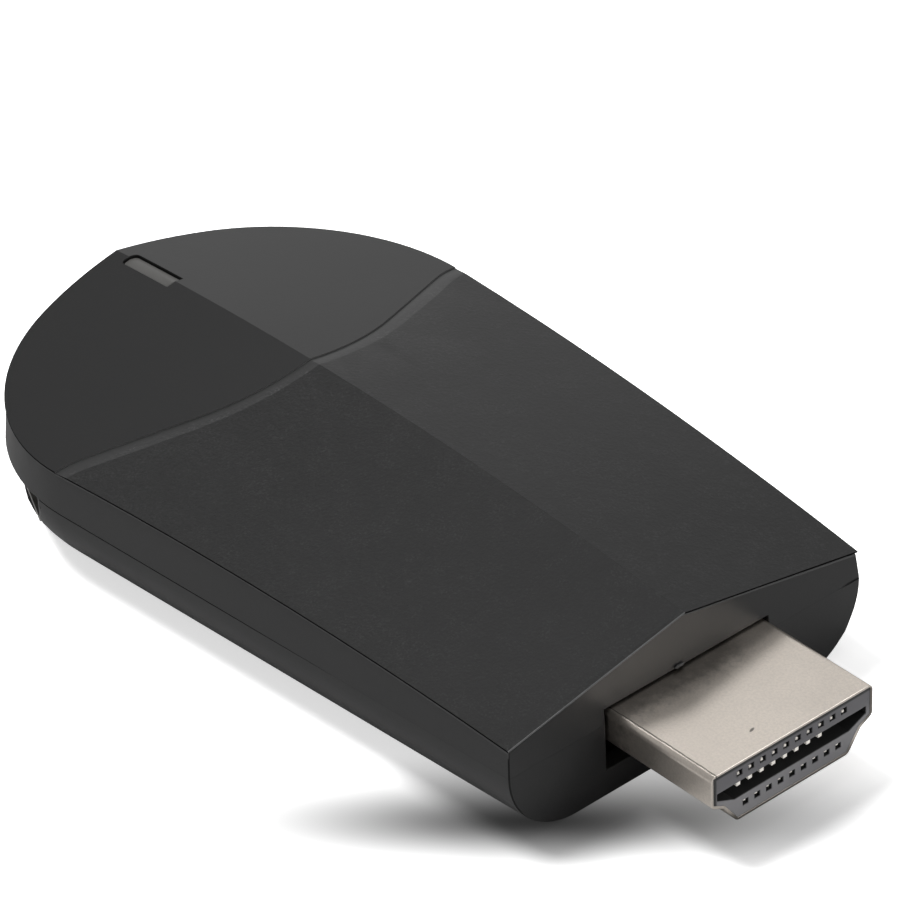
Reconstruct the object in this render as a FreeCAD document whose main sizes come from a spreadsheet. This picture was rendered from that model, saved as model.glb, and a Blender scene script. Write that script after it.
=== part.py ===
import FreeCAD, Part
import math
import os

import Sketcher

# A wireless display adapter: a flat two-shell casing with a rounded rear end, an inlaid
# two-facet arched top cover, a video plug on the front wall, a power inlet in the rear
# left corner, a side button, and the circuit board with its parts inside.
# Millimetres. +X runs from the rounded rear to the plug, +Z is up, z = 0 is the flat base.

SIZES = {
    # Plan outline of the casing at the seam between the shells
    "casing_length": 57.2,
    "front_half_width": 15.15,
    "side_taper": 3.47,
    "corner_radius": 14.45,
    "rear_radius": 26.0,
    # Heights and the arched roof
    "seam_height": 5.6,
    "ridge_height": 12.15,
    "crest_setback": 32.0,
    "arch_radius": 300.0,
    "roof_slope": 10.4,
    "wall_draft": 3.0,
    "frame_draft": 5.4,
    "hull_band": 0.1,
    # Casing walls
    "wall": 1.3,
    "floor": 1.2,
    "cavity_band": 0.3,
    "cover_thickness": 1.0,
    "cover_edge": 0.12,
    "cover_shadow_gap": 0.1,
    "cover_lip": 0.6,
    "cover_gap": 0.1,
    "rebate_width": 0.6,
    "rebate_depth": 0.8,
    "rebate_gap": 0.08,
    # Shallow band across the top cover: a step at its bowed rear edge and a ramp in front of it
    "groove_setback": 36.3,
    "groove_radius": 20.5,
    "groove_slant": 24.2,
    "groove_bend": 15.3,
    "groove_end_radius": 7.0,
    "groove_depth": 0.1,
    "groove_width": 1.05,
    # Indicator window on the ridge
    "window_length": 4.85,
    "window_width": 1.25,
    "window_corner": 0.25,
    "window_setback": 1.76,
    "window_depth": 0.2,
    "window_gap": 0.08,
    "window_flange": 0.8,
    "window_flange_height": 0.6,
    # Video plug
    "plug_reach": 9.4,
    "plug_width": 13.9,
    "plug_height": 4.45,
    "plug_side_height": 2.4,
    "plug_shoulder_inset": 1.0,
    "plug_shoulder_depth": 2.9,
    "plug_base_inset": 2.15,
    "plug_metal": 0.2,
    "plug_edge_radius": 0.45,
    "plug_axis_height": 4.32,
    "plug_clearance": 0.13,
    "plug_inner_reach": 3.5,
    "slot_width": 12.85,
    "slot_height": 1.2,
    "slot_rise": 0.08,
    "slot_side_height": 0.55,
    "slot_base_inset": 1.5,
    "slot_depth": 7.4,
    "insert_setback": 0.04,
    "contact_pitch": 1.0,
    "contact_width": 0.34,
    "contact_metal": 0.2,
    "contact_tip_setback": 0.12,
    "contact_drop": 0.22,
    "contact_tip_height": 0.35,
    "contact_lower_setback": 1.6,
    "contact_bend_setback": 3.2,
    "contact_tail": 2.0,
    "contact_pin": 0.2,
    "contact_pin_setback": 0.12,
    "contact_pin_shift": 0.1,
    "pinhole": 0.5,
    "pinhole_height": 0.45,
    "pinhole_offset": 1.25,
    "pinhole_depth": 0.9,
    "plug_leg_length": 3.0,
    "plug_leg_height": 1.2,
    "plug_foot_width": 0.8,
    # Circuit board and what holds it
    "board_thickness": 1.0,
    "board_edge_gap": 0.9,
    "board_front_gap": 0.3,
    "screw_setback": 9.5,
    "screw_spread": 10.3,
    "screw_radius": 0.75,
    "screw_head_radius": 1.4,
    "screw_head_height": 0.9,
    "screw_length": 3.2,
    "screw_point_gap": 0.2,
    "post_radius": 1.9,
    "rest_inset": 17.2,
    "rest_spread": 6.5,
    "rest_radius": 1.2,
    "screw_clearance": 0.15,
    # Power socket in the rear left corner
    "socket_width": 7.5,
    "socket_height": 2.45,
    "socket_depth": 5.2,
    "socket_metal": 0.25,
    "socket_chamfer": 0.7,
    "socket_tongue_width": 3.7,
    "socket_tongue_height": 0.65,
    "socket_base_depth": 1.2,
    "socket_tongue_setback": 0.9,
    "socket_setback": 0.15,
    "socket_gap": 0.1,
    "socket_wing_length": 1.5,
    "socket_wing_width": 1.0,
    "socket_contact_pitch": 0.65,
    "socket_contact_width": 0.35,
    "socket_contact_metal": 0.12,
    "socket_contact_tail": 1.2,
    "port_angle": 25.5,
    "port_recess_depth": 0.95,
    "port_recess_width": 9.6,
    "port_recess_floor": 1.9,
    "port_wall": 1.2,
    "port_block_width": 12.4,
    "port_board_gap": 0.3,
    # Side button and its switch
    "button_inset": 30.2,
    "button_height_above_board": 2.08,
    "button_length": 5.0,
    "button_thickness": 1.6,
    "button_proud": 0.25,
    "button_gap": 0.1,
    "button_flange": 0.5,
    "button_flange_thickness": 0.5,
    "button_corner_radius": 0.7,
    "button_wall_gap": 0.1,
    "button_travel": 0.3,
    "plunger_length": 1.6,
    "plunger_height": 0.9,
    "plunger_reach": 1.0,
    "plunger_gap": 0.05,
    "plunger_end_gap": 0.1,
    "switch_gap": 0.45,
    "switch_length": 4.6,
    "switch_depth": 3.3,
    "switch_height": 3.4,
    # Shield, processor and heat spreader
    "shield_setback": 12.0,
    "shield_inset": 25.2,
    "shield_width": 19.0,
    "shield_height": 2.6,
    "shield_metal": 0.2,
    "processor_size": 13.0,
    "processor_height": 1.1,
    "spreader_margin": 1.0,
    "spreader_width": 16.5,
    "spreader_height": 1.0,
    # Radio module
    "radio_inset": 11.8,
    "radio_side": 4.5,
    "radio_length": 9.0,
    "radio_width": 11.0,
    "radio_board": 0.6,
    "radio_shield_height": 1.5,
    "radio_margin": 0.7,
    # Thermal pad between the processor and its shield
    "pad_size": 12.0,
    # Memory on the underside of the board
    "flash_length": 6.0,
    "flash_width": 5.0,
    "flash_height": 0.8,
    "flash_setback": 20.0,
    # Indicator lamp under the light pipe
    "lamp_length": 1.6,
    "lamp_width": 0.9,
    "lamp_height": 0.6,
    "lamp_gap": 0.2,
    "pipe_stem_length": 2.4,
    "pipe_stem_width": 1.1,
}

# Plain chips: length, width, height, distance in from the rear end, distance to the +Y side
CHIPS = {
    "memory_chip": (7.5, 12.0, 1.0, 20.8, 0.0),
    "regulator_chip": (3.0, 3.0, 0.9, 28.2, -12.2),
    "bulk_capacitor": (3.6, 2.8, 1.9, 18.2, -12.0),
    "crystal": (3.2, 2.5, 0.8, 19.6, 8.6),
}

# Groups of equal small parts: length, width, height of one, then where each sits: the end
# that its place is measured from, the distance from that end and the distance to the +Y side
GROUPS = {
    "power_inductors": ((4.0, 4.0, 2.0), [("rear", 23.2, -12.2), ("rear", 23.2, 12.2)]),
    "signal_filters": ((1.6, 1.0, 0.6), [
        ("front", 8.3, -4.5), ("front", 8.3, -1.5), ("front", 8.3, 1.5), ("front", 8.3, 4.5),
    ]),
    "chip_antennas": ((2.0, 5.0, 1.0), [("rear", 5.6, 5.4), ("rear", 5.6, -5.4)]),
    "chip_capacitors": ((1.0, 0.6, 0.6), [
        ("front", 13.2, 11.4), ("front", 15.0, 11.4), ("front", 16.8, 11.4),
        ("front", 13.2, -11.4), ("front", 15.0, -11.4), ("front", 16.8, -11.4),
        ("front", 18.6, -11.4), ("front", 20.4, -11.4), ("rear", 23.6, 7.4),
        ("rear", 23.6, -7.4), ("rear", 15.9, -3.6), ("rear", 15.9, -5.4),
        ("rear", 15.9, -7.2), ("rear", 10.2, -4.5), ("rear", 8.4, -4.5),
    ]),
}
FROM_END = {"front": "Sizes.front_x - Sizes.%s", "rear": "Sizes.rear_x + Sizes.%s"}

# Places that several pieces share, worked out from the sizes above
SHARED = {
    "front_x": "=(casing_length - plug_reach) / 2",
    "rear_x": "=front_x - casing_length",
    "corner_off": "=(casing_length - rear_radius) * sin(side_taper * 1deg)"
                  " + front_half_width * cos(side_taper * 1deg) - corner_radius",
    "corner_run": "=sqrt((rear_radius - corner_radius) ^ 2 - corner_off ^ 2)",
    "corner_x": "=rear_x + rear_radius"
                " + corner_off * sin(side_taper * 1deg) - corner_run * cos(side_taper * 1deg)",
    "corner_y": "=corner_off * cos(side_taper * 1deg) + corner_run * sin(side_taper * 1deg)",
    "board_bottom": "=plug_axis_height - board_thickness / 2",
    "board_top": "=plug_axis_height + board_thickness / 2",
    "port_flat": "=corner_radius - port_recess_depth",
    "port_height": "=(port_recess_floor + seam_height) / 2",
    "socket_mouth": "=port_flat - socket_setback",
    "button_y": "=front_half_width"
                " + (casing_length - button_inset) * tan(side_taper * 1deg)",
    "button_z": "=board_top + button_height_above_board",
    "shield_length": "=casing_length - shield_setback - shield_inset",
    "shield_x": "=front_x - shield_setback - shield_length / 2",
}


def make_sheet(doc):
    """Put every driving size in a named cell."""
    sheet = doc.addObject("Spreadsheet::Sheet", "Sizes")
    sizes = dict(SIZES)
    for chip, numbers in CHIPS.items():
        names = ("length", "width", "height", "inset", "side")
        sizes.update({"%s_%s" % (chip, name): n for name, n in zip(names, numbers)})
    for group, (numbers, places) in GROUPS.items():
        names = ("length", "width", "height")
        sizes.update({"%s_%s" % (group, name): n for name, n in zip(names, numbers)})
        for number, (end, distance, side) in enumerate(places, start=1):
            sizes["%s_from_%s_%d" % (group, end, number)] = distance
            sizes["%s_side_%d" % (group, number)] = side
    sizes.update(SHARED)
    for row, (alias, value) in enumerate(sizes.items(), start=1):
        sheet.set("A%d" % row, alias)
        sheet.set("B%d" % row, str(value))
        sheet.setAlias("B%d" % row, alias)
    doc.recompute()
    return sheet


doc = FreeCAD.newDocument("wireless_display_adapter")
sheet = make_sheet(doc)


def size(alias):
    """The value that the sheet holds under a name."""
    return float(sheet.get(alias))


front_x = size("front_x")
taper = math.radians(size("side_taper"))

# The roof is cut from a block that reaches past the casing on every side
ROOF_HALF_WIDTH = 30.0
ROOF_BASE = -12.0
ROOF_SWEEP = 24.0

# Lengths that tell a sharp match or a long edge when edges are picked to be rounded
SAME_PLACE = 0.01
LONG_EDGE = 0.5


class Outline:
    """The plan outline: a straight front, tapering sides and a rear of three arcs."""

    def __init__(self):
        self.outward = FreeCAD.Vector(math.sin(taper), math.cos(taper), 0)
        self.rear_centre = FreeCAD.Vector(size("rear_x") + size("rear_radius"), 0, 0)
        self.corner_centre = FreeCAD.Vector(size("corner_x"), size("corner_y"), 0)
        self.meeting = (self.corner_centre - self.rear_centre).normalize()

    def points(self, inset):
        """Front corner, side tangent point and rear tangent point on the +Y side."""
        front_y = size("front_half_width")
        front_y -= inset * (1 - math.sin(taper)) / math.cos(taper)
        front = FreeCAD.Vector(front_x - inset, front_y, 0)
        side = self.corner_centre + self.outward * (size("corner_radius") - inset)
        rear = self.rear_centre + self.meeting * (size("rear_radius") - inset)
        return front, side, rear


outline = Outline()


def mirrored(point):
    """The same point on the other side of the centre plane."""
    return FreeCAD.Vector(point.x, -point.y, point.z)


def origin_plane(body, role):
    """The origin plane of a body that has this role."""
    return [f for f in body.Origin.OriginFeatures if f.Role == role][0]


def sketch_on(body, name, role, lift=None, lift_axis="z"):
    """A sketch on an origin plane, lifted along its normal by an expression."""
    sketch = body.newObject("Sketcher::SketchObject", name)
    sketch.AttachmentSupport = [(origin_plane(body, role), "")]
    sketch.MapMode = "FlatFace"
    if lift is not None:
        sketch.setExpression("AttachmentOffset.Base.%s" % lift_axis, lift)
    doc.recompute()
    return sketch


def arc_between(centre, first, last):
    """A counter-clockwise arc about a centre from one point to another."""
    radius = first.distanceToPoint(centre)
    circle = Part.Circle(centre, FreeCAD.Vector(0, 0, 1), radius)
    start = math.atan2(first.y - centre.y, first.x - centre.x)
    end = math.atan2(last.y - centre.y, last.x - centre.x)
    return Part.ArcOfCircle(circle, start, end)


def outline_sketch(body, name, inset, lift):
    """The casing outline, moved in by the expression inset, with all its constraints."""
    sketch = sketch_on(body, name, "XY_Plane", lift)
    inset_now = value_of(inset)
    front, side, rear = outline.points(inset_now)
    corner = outline.corner_centre
    line = Part.LineSegment
    edges = [
        line(mirrored(front), front),
        line(front, side),
        arc_between(corner, side, rear),
        arc_between(outline.rear_centre, rear, mirrored(rear)),
        arc_between(mirrored(corner), mirrored(rear), mirrored(side)),
        line(mirrored(side), mirrored(front)),
    ]
    sketch.addGeometry(edges, False)
    start, end, centre, x_axis, origin = 1, 2, 3, -1, -1
    add = sketch.addConstraint
    add(Sketcher.Constraint("Coincident", 0, end, 1, start))
    add(Sketcher.Constraint("Tangent", 1, end, 2, start))
    add(Sketcher.Constraint("Tangent", 2, end, 3, start))
    add(Sketcher.Constraint("Tangent", 3, end, 4, start))
    add(Sketcher.Constraint("Tangent", 4, end, 5, start))
    add(Sketcher.Constraint("Coincident", 5, end, 0, start))
    add(Sketcher.Constraint("Symmetric", 0, start, 0, end, x_axis))
    add(Sketcher.Constraint("PointOnObject", 3, centre, x_axis))
    add(Sketcher.Constraint("Equal", 2, 4))
    taper_now = math.radians(size("side_taper"))
    bind(sketch, "Angle", (1,), math.pi - taper_now, "(180 - Sizes.side_taper) * 1 deg")
    bind(sketch, "Angle", (5,), taper_now, "Sizes.side_taper * 1 deg")
    bind(sketch, "DistanceX", (origin, 1, 0, end), front.x, "Sizes.front_x - (%s)" % inset)
    front_y = "Sizes.front_half_width - (%s) * (1 - sin(Sizes.side_taper * 1 deg))"
    front_y += " / cos(Sizes.side_taper * 1 deg)"
    bind(sketch, "DistanceY", (origin, 1, 0, end), front.y, front_y % inset)
    bind(sketch, "Radius", (2,), size("corner_radius") - inset_now,
         "Sizes.corner_radius - (%s)" % inset)
    bind(sketch, "Radius", (3,), size("rear_radius") - inset_now,
         "Sizes.rear_radius - (%s)" % inset)
    bind(sketch, "DistanceX", (3, centre, 0, end), front.x - outline.rear_centre.x,
         "Sizes.casing_length - Sizes.rear_radius - (%s)" % inset)
    return sketch


def bind(sketch, kind, where, value, expression):
    """Add a measured constraint and tie it to the sheet."""
    number = sketch.addConstraint(Sketcher.Constraint(kind, *where, value))
    sketch.setExpression("Constraints[%d]" % number, expression)


def value_of(expression):
    """Work out an expression of the sheet once, for a sketch's first geometry."""
    return float(sheet.evalExpression(expression.replace("Sizes.", "")))


def prism(name, inset, lift, height, draft="0"):
    """A block with the casing outline, from the height lift upwards, drawn in by a draft."""
    body = doc.addObject("PartDesign::Body", name)
    sketch = outline_sketch(body, name + "_outline", inset, lift)
    feature = pad(body, sketch, height)
    feature.setExpression("TaperAngle", draft)
    doc.recompute()
    return body


def roof_block(name, drop):
    """Everything below the arched two-facet roof, lowered by the expression drop."""
    body = doc.addObject("PartDesign::Body", name)
    sketch = sketch_on(body, name + "_section", "YZ_Plane", "Sizes.front_x - Sizes.crest_setback")
    ridge = size("ridge_height") - value_of(drop)
    half = ROOF_HALF_WIDTH
    eave = ridge - half * math.tan(math.radians(size("roof_slope")))
    corners = [(-half, ROOF_BASE), (half, ROOF_BASE), (half, eave), (0, ridge), (-half, eave)]
    points = [FreeCAD.Vector(y, z, 0) for y, z in corners]
    for first, last in zip(points, points[1:] + points[:1]):
        sketch.addGeometry(Part.LineSegment(first, last), False)
    axis_height = ridge - size("arch_radius")
    axis = Part.LineSegment(FreeCAD.Vector(-half, axis_height, 0), FreeCAD.Vector(half, axis_height, 0))
    sketch.addGeometry(axis, True)
    add = sketch.addConstraint
    for number in range(5):
        add(Sketcher.Constraint("Coincident", number, 2, (number + 1) % 5, 1))
    add(Sketcher.Constraint("Symmetric", 0, 1, 0, 2, -2))
    add(Sketcher.Constraint("Vertical", 1))
    add(Sketcher.Constraint("Symmetric", 2, 1, 3, 2, -2))
    add(Sketcher.Constraint("PointOnObject", 2, 2, -2))
    add(Sketcher.Constraint("Symmetric", 5, 1, 5, 2, -2))
    bind(sketch, "DistanceX", (0, 1, 0, 2), 2 * half, "%s" % (2 * ROOF_HALF_WIDTH))
    bind(sketch, "DistanceX", (5, 1, 5, 2), 2 * half, "%s" % (2 * ROOF_HALF_WIDTH))
    bind(sketch, "DistanceY", (0, 1, -1, 1), -ROOF_BASE, "%s" % -ROOF_BASE)
    bind(sketch, "DistanceY", (-1, 1, 2, 2), ridge, "Sizes.ridge_height - (%s)" % drop)
    slope_now = math.pi - math.radians(size("roof_slope"))
    bind(sketch, "Angle", (2,), slope_now, "(180 - Sizes.roof_slope) * 1 deg")
    bind(sketch, "DistanceY", (5, 1, 2, 2), size("arch_radius"), "Sizes.arch_radius")
    turn = body.newObject("PartDesign::Revolution", name + "_arch")
    turn.Profile = sketch
    turn.ReferenceAxis = (sketch, ["Axis0"])
    turn.Midplane = True
    turn.Angle = ROOF_SWEEP
    doc.recompute()
    return body


def polygon_sketch(body, name, role, lift, loops):
    """Closed loops of straight edges whose corners are pairs of expressions."""
    sketch = sketch_on(body, name, role, lift)
    add = sketch.addConstraint
    for corners in loops:
        first = sketch.GeometryCount
        points = [FreeCAD.Vector(value_of(a), value_of(b), 0) for a, b in corners]
        for start, end in zip(points, points[1:] + points[:1]):
            sketch.addGeometry(Part.LineSegment(start, end), False)
        count = len(corners)
        for number in range(count):
            following = first + (number + 1) % count
            add(Sketcher.Constraint("Coincident", first + number, 2, following, 1))
        for number, (point, (across, up)) in enumerate(zip(points, corners)):
            bind(sketch, "DistanceX", (-1, 1, first + number, 1), point.x, across)
            bind(sketch, "DistanceY", (-1, 1, first + number, 1), point.y, up)
    doc.recompute()
    return sketch


def pad(body, sketch, length, reversed_way=False, midplane=False):
    """Add material along a sketch's normal."""
    feature = body.newObject("PartDesign::Pad", sketch.Name + "_pad")
    feature.Profile = sketch
    feature.setExpression("Length", length)
    feature.Reversed = reversed_way
    feature.Midplane = midplane
    doc.recompute()
    return feature


def row(body, feature, sketch, axis, pitch, count):
    """Repeat a feature towards +Y, along its sketch's own or normal axis."""
    pattern = body.newObject("PartDesign::LinearPattern", feature.Name + "_row")
    pattern.Originals = [feature]
    pattern.Direction = (sketch, [axis])
    pattern.Reversed = axis == "N_Axis"
    pattern.Occurrences = count
    pattern.setExpression("Length", "(%s) * %d" % (pitch, count - 1))
    body.Tip = pattern
    doc.recompute()
    return pattern


def fillet(body, radius, chosen):
    """Round the edges of a body's last feature that a test picks."""
    base = body.Tip
    names = ["Edge%d" % n for n, edge in enumerate(base.Shape.Edges, start=1) if chosen(edge)]
    feature = body.newObject("PartDesign::Fillet", "%s_round_%d" % (body.Name, len(body.Group)))
    feature.Base = (base, names)
    feature.setExpression("Radius", radius)
    doc.recompute()
    return feature


def place(obj, x, y, z, angle="0"):
    """Tie an object's position and its turn about the vertical to the sheet."""
    for axis, expression in zip("xyz", (x, y, z)):
        obj.setExpression("Placement.Base.%s" % axis, expression)
    obj.setExpression("Placement.Rotation.Angle", "(%s) * 1 deg" % angle)
    return obj


def block(name, length, width, height, x, y, z):
    """A box centred on x and y, with its underside at z."""
    box = doc.addObject("Part::Box", name)
    box.setExpression("Length", length)
    box.setExpression("Width", width)
    box.setExpression("Height", height)
    return place(box, "(%s) - (%s) / 2" % (x, length), "(%s) - (%s) / 2" % (y, width), z)


def rod(name, radius, height, x, y, z):
    """An upright cylinder with its lower end at z."""
    cylinder = doc.addObject("Part::Cylinder", name)
    cylinder.setExpression("Radius", radius)
    cylinder.setExpression("Height", height)
    return place(cylinder, x, y, z)


def fuse(name, shapes):
    """Join several shapes."""
    joined = doc.addObject("Part::MultiFuse", name)
    joined.Shapes = shapes
    doc.recompute()
    return joined


def common(name, shapes):
    """What several shapes share."""
    shared = doc.addObject("Part::MultiCommon", name)
    shared.Shapes = shapes
    doc.recompute()
    return shared


def cut(name, base, tools):
    """Take one or more shapes from another."""
    result = doc.addObject("Part::Cut", name)
    result.Base = base
    result.Tool = tools[0] if len(tools) == 1 else fuse(name + "_tools", tools)
    doc.recompute()
    return result


def together(name, shapes):
    """Equal pieces that share one node."""
    group = doc.addObject("Part::Compound", name)
    group.Links = shapes
    doc.recompute()
    return group


def at_port(obj):
    """Move a shape from its own frame, +X outwards, to the rear left corner."""
    return place(obj, "Sizes.corner_x", "-Sizes.corner_y", "0", "-90 - Sizes.port_angle")


def at_button(obj):
    """Move a shape from its own frame, +Y outwards, to the button's place on the side."""
    return place(obj, "Sizes.rear_x + Sizes.button_inset", "Sizes.button_y", "0",
                 "-Sizes.side_taper")


def low_round_edge(edge, height):
    """Whether an edge lies at a height and isn't the one at the straight front."""
    box = edge.BoundBox
    level = abs(box.ZMin - height) < SAME_PLACE and abs(box.ZMax - height) < SAME_PLACE
    return level and box.XLength > LONG_EDGE


# Pieces by the name of their node
pieces = {}

# Roof surfaces, each a little lower than the one before
roof = roof_block("roof", "0")
roof_of_pipe = roof_block("roof_of_pipe", "Sizes.window_depth")
roof_of_seat = roof_block("roof_of_seat", "Sizes.cover_thickness")
roof_of_edge = roof_block("roof_of_edge", "Sizes.cover_edge")
roof_of_frame = roof_block("roof_of_frame", "Sizes.cover_edge + Sizes.cover_shadow_gap")
roof_of_flange = roof_block("roof_of_flange", "Sizes.cover_thickness + Sizes.window_flange_height")

# Opening for the plug, shared by both shells
plug_opening = block(
    "plug_opening", "4 * Sizes.wall", "Sizes.plug_width + 2 * Sizes.plug_clearance",
    "Sizes.plug_height + 2 * Sizes.plug_clearance", "Sizes.front_x", "0",
    "Sizes.plug_axis_height - Sizes.plug_height / 2 - Sizes.plug_clearance")

# Solid corner that carries the power inlet's flat face
PORT_BLOCK_DEPTH = "(Sizes.port_wall + 4 * Sizes.port_recess_depth)"
PORT_BLOCK_BACK = "Sizes.port_flat - Sizes.port_wall"


def port_box(name, depth, width, height, back, z):
    """A box in the port's frame: back is its inner face, depth runs outwards."""
    box = block(name + "_box", depth, width, height, "(%s) + (%s) / 2" % (back, depth), "0", z)
    return at_port(together(name, [box]))


port_block = port_box("port_block", PORT_BLOCK_DEPTH, "Sizes.port_block_width",
                      "Sizes.seam_height", PORT_BLOCK_BACK, "0")


# Lower shell: a rounded tub with a rebate for the side frame, posts and the port corner
hull = prism("hull", "0", "0", "Sizes.seam_height")
fillet(hull, "Sizes.seam_height - Sizes.hull_band", lambda edge: low_round_edge(edge, 0))
cavity = prism("cavity", "Sizes.wall", "Sizes.floor", "Sizes.seam_height")
fillet(cavity, "Sizes.seam_height - Sizes.floor - Sizes.cavity_band",
       lambda edge: low_round_edge(edge, size("floor")))
rebate = prism("rebate", "Sizes.wall - Sizes.rebate_width",
               "Sizes.seam_height - Sizes.rebate_depth", "Sizes.seam_height")
posts = [port_block]
pilot_holes = []
for side, sign in (("left", "-"), ("right", "")):
    screw_x = "Sizes.front_x - Sizes.screw_setback"
    screw_y = sign + "Sizes.screw_spread"
    posts.append(rod("screw_post_" + side, "Sizes.post_radius", "Sizes.board_bottom",
                     screw_x, screw_y, "0"))
    posts.append(rod("rest_post_" + side, "Sizes.rest_radius", "Sizes.board_bottom",
                     "Sizes.rear_x + Sizes.rest_inset", sign + "Sizes.rest_spread", "0"))
    pilot_holes.append(rod(
        "pilot_hole_" + side, "Sizes.screw_radius", "Sizes.screw_length + Sizes.screw_point_gap",
        screw_x, screw_y, "Sizes.board_top - Sizes.screw_length - Sizes.screw_point_gap"))
hollow = cut("hollow", fuse("hollow_block", [cavity, rebate]), posts)
port_recess = port_box("port_recess", "4 * Sizes.port_recess_depth", "Sizes.port_recess_width",
                       "Sizes.seam_height", "Sizes.port_flat", "Sizes.port_recess_floor")


def socket_profile(name, growth, back, depth):
    """A bar with the inlet's cross-section, its lower corners cut off, grown all round."""
    body = doc.addObject("PartDesign::Body", name)
    half = "(Sizes.socket_width / 2 + (%s))" % growth
    top = "Sizes.port_height + Sizes.socket_height / 2 + (%s)" % growth
    low = "Sizes.port_height - Sizes.socket_height / 2 - (%s)" % growth
    side = [
        (half, top),
        (half, low + " + Sizes.socket_chamfer"),
        (half + " - Sizes.socket_chamfer", low),
    ]
    other = [("-(%s)" % across, up) for across, up in reversed(side)]
    pad(body, polygon_sketch(body, name + "_profile", "YZ_Plane", back, [side + other]), depth)
    return at_port(body)


socket_hole = socket_profile("socket_hole", "Sizes.socket_gap",
                             "Sizes.port_flat - 2 * Sizes.port_wall", "4 * Sizes.port_wall")
pieces["lower_shell"] = cut(
    "lower_shell", hull, [hollow, plug_opening, port_recess, socket_hole] + pilot_holes)


# Button: a cap with a retaining flange, and the hole it runs in
def button_bar(name, growth, out, depth):
    """A rounded bar along the button's axis, from out of the side face inwards."""
    body = doc.addObject("PartDesign::Body", name)
    half = "(Sizes.button_length / 2 + (%s))" % growth
    low = "Sizes.button_z - Sizes.button_thickness / 2 - (%s)" % growth
    top = "Sizes.button_z + Sizes.button_thickness / 2 + (%s)" % growth
    corners = [("-" + half, low), (half, low), (half, top), ("-" + half, top)]
    sketch = polygon_sketch(body, name + "_profile", "XZ_Plane", "-(%s)" % out, [corners])
    pad(body, sketch, depth)
    fillet(body, "Sizes.button_corner_radius + (%s)" % growth,
           lambda edge: edge.BoundBox.YLength > LONG_EDGE)
    return body


button_hole = at_button(button_bar("button_hole", "Sizes.button_gap", "2 * Sizes.wall",
                                   "4 * Sizes.wall"))
cap_bar = button_bar("cap_bar", "0", "Sizes.button_proud",
                     "Sizes.button_proud + Sizes.wall + Sizes.button_wall_gap")
FLANGE_BACK = "(Sizes.wall + Sizes.button_wall_gap + Sizes.button_flange_thickness)"
cap_flange = block(
    "cap_flange", "Sizes.button_length + 2 * Sizes.button_flange",
    "Sizes.button_flange_thickness", "Sizes.button_thickness + 2 * Sizes.button_flange", "0",
    "Sizes.button_flange_thickness / 2 - %s" % FLANGE_BACK,
    "Sizes.button_z - Sizes.button_thickness / 2 - Sizes.button_flange")
pieces["side_button"] = at_button(fuse("side_button", [cap_bar, cap_flange]))

# Switch under the button: a plunger that sinks into a body on the board
plunger = block(
    "plunger_bar", "Sizes.plunger_length", "Sizes.plunger_reach", "Sizes.plunger_height", "0",
    "-%s - Sizes.plunger_reach / 2" % FLANGE_BACK, "Sizes.button_z - Sizes.plunger_height / 2")
pieces["switch_plunger"] = at_button(together("switch_plunger", [plunger]))
SWITCH_FACE = "(%s + Sizes.switch_gap)" % FLANGE_BACK
PLUNGER_END = "(%s + Sizes.plunger_reach)" % FLANGE_BACK
WELL_END = "(%s + Sizes.button_travel + Sizes.plunger_end_gap)" % PLUNGER_END
switch_case = block("switch_case", "Sizes.switch_length", "Sizes.switch_depth",
                    "Sizes.switch_height", "0", "-%s - Sizes.switch_depth / 2" % SWITCH_FACE,
                    "Sizes.board_top")
switch_well = block(
    "switch_well", "Sizes.plunger_length + 2 * Sizes.plunger_gap",
    "%s - Sizes.wall" % WELL_END, "Sizes.plunger_height + 2 * Sizes.plunger_gap", "0",
    "-(%s + Sizes.wall) / 2" % WELL_END,
    "Sizes.button_z - Sizes.plunger_height / 2 - Sizes.plunger_gap")
pieces["switch_body"] = at_button(cut("switch_body", switch_case, [switch_well]))


# Side frame: the drafted wall that ends just under the cover's rim, the seat for the cover's
# plate and the tongue into the lower shell
tongue_ring = prism(
    "tongue_ring", "Sizes.wall - Sizes.rebate_width + Sizes.rebate_gap",
    "Sizes.seam_height - Sizes.rebate_depth + Sizes.rebate_gap", "2 * Sizes.rebate_depth")
port_gap = port_box("port_gap", PORT_BLOCK_DEPTH + " + 2 * Sizes.rebate_gap",
                    "Sizes.port_block_width + 2 * Sizes.rebate_gap", "Sizes.seam_height",
                    PORT_BLOCK_BACK + " - Sizes.rebate_gap", "0")
tongue = cut("tongue", tongue_ring, [port_gap])
frame_block = common("frame_block", [
    prism("frame_prism", "0", "Sizes.seam_height", "Sizes.ridge_height", "-Sizes.frame_draft"),
    roof_of_frame])
cover_seat = cut(
    "cover_seat",
    prism("seat_prism", "Sizes.cover_lip", "Sizes.seam_height", "Sizes.ridge_height",
          "-Sizes.wall_draft"),
    [roof_of_seat])
frame_hollow = prism("frame_hollow", "Sizes.wall", "Sizes.seam_height - 2 * Sizes.rebate_depth",
                     "Sizes.ridge_height")
pieces["side_frame"] = cut("side_frame", fuse("frame_wall", [frame_block, tongue]),
                           [cover_seat, frame_hollow, plug_opening, button_hole])


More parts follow.
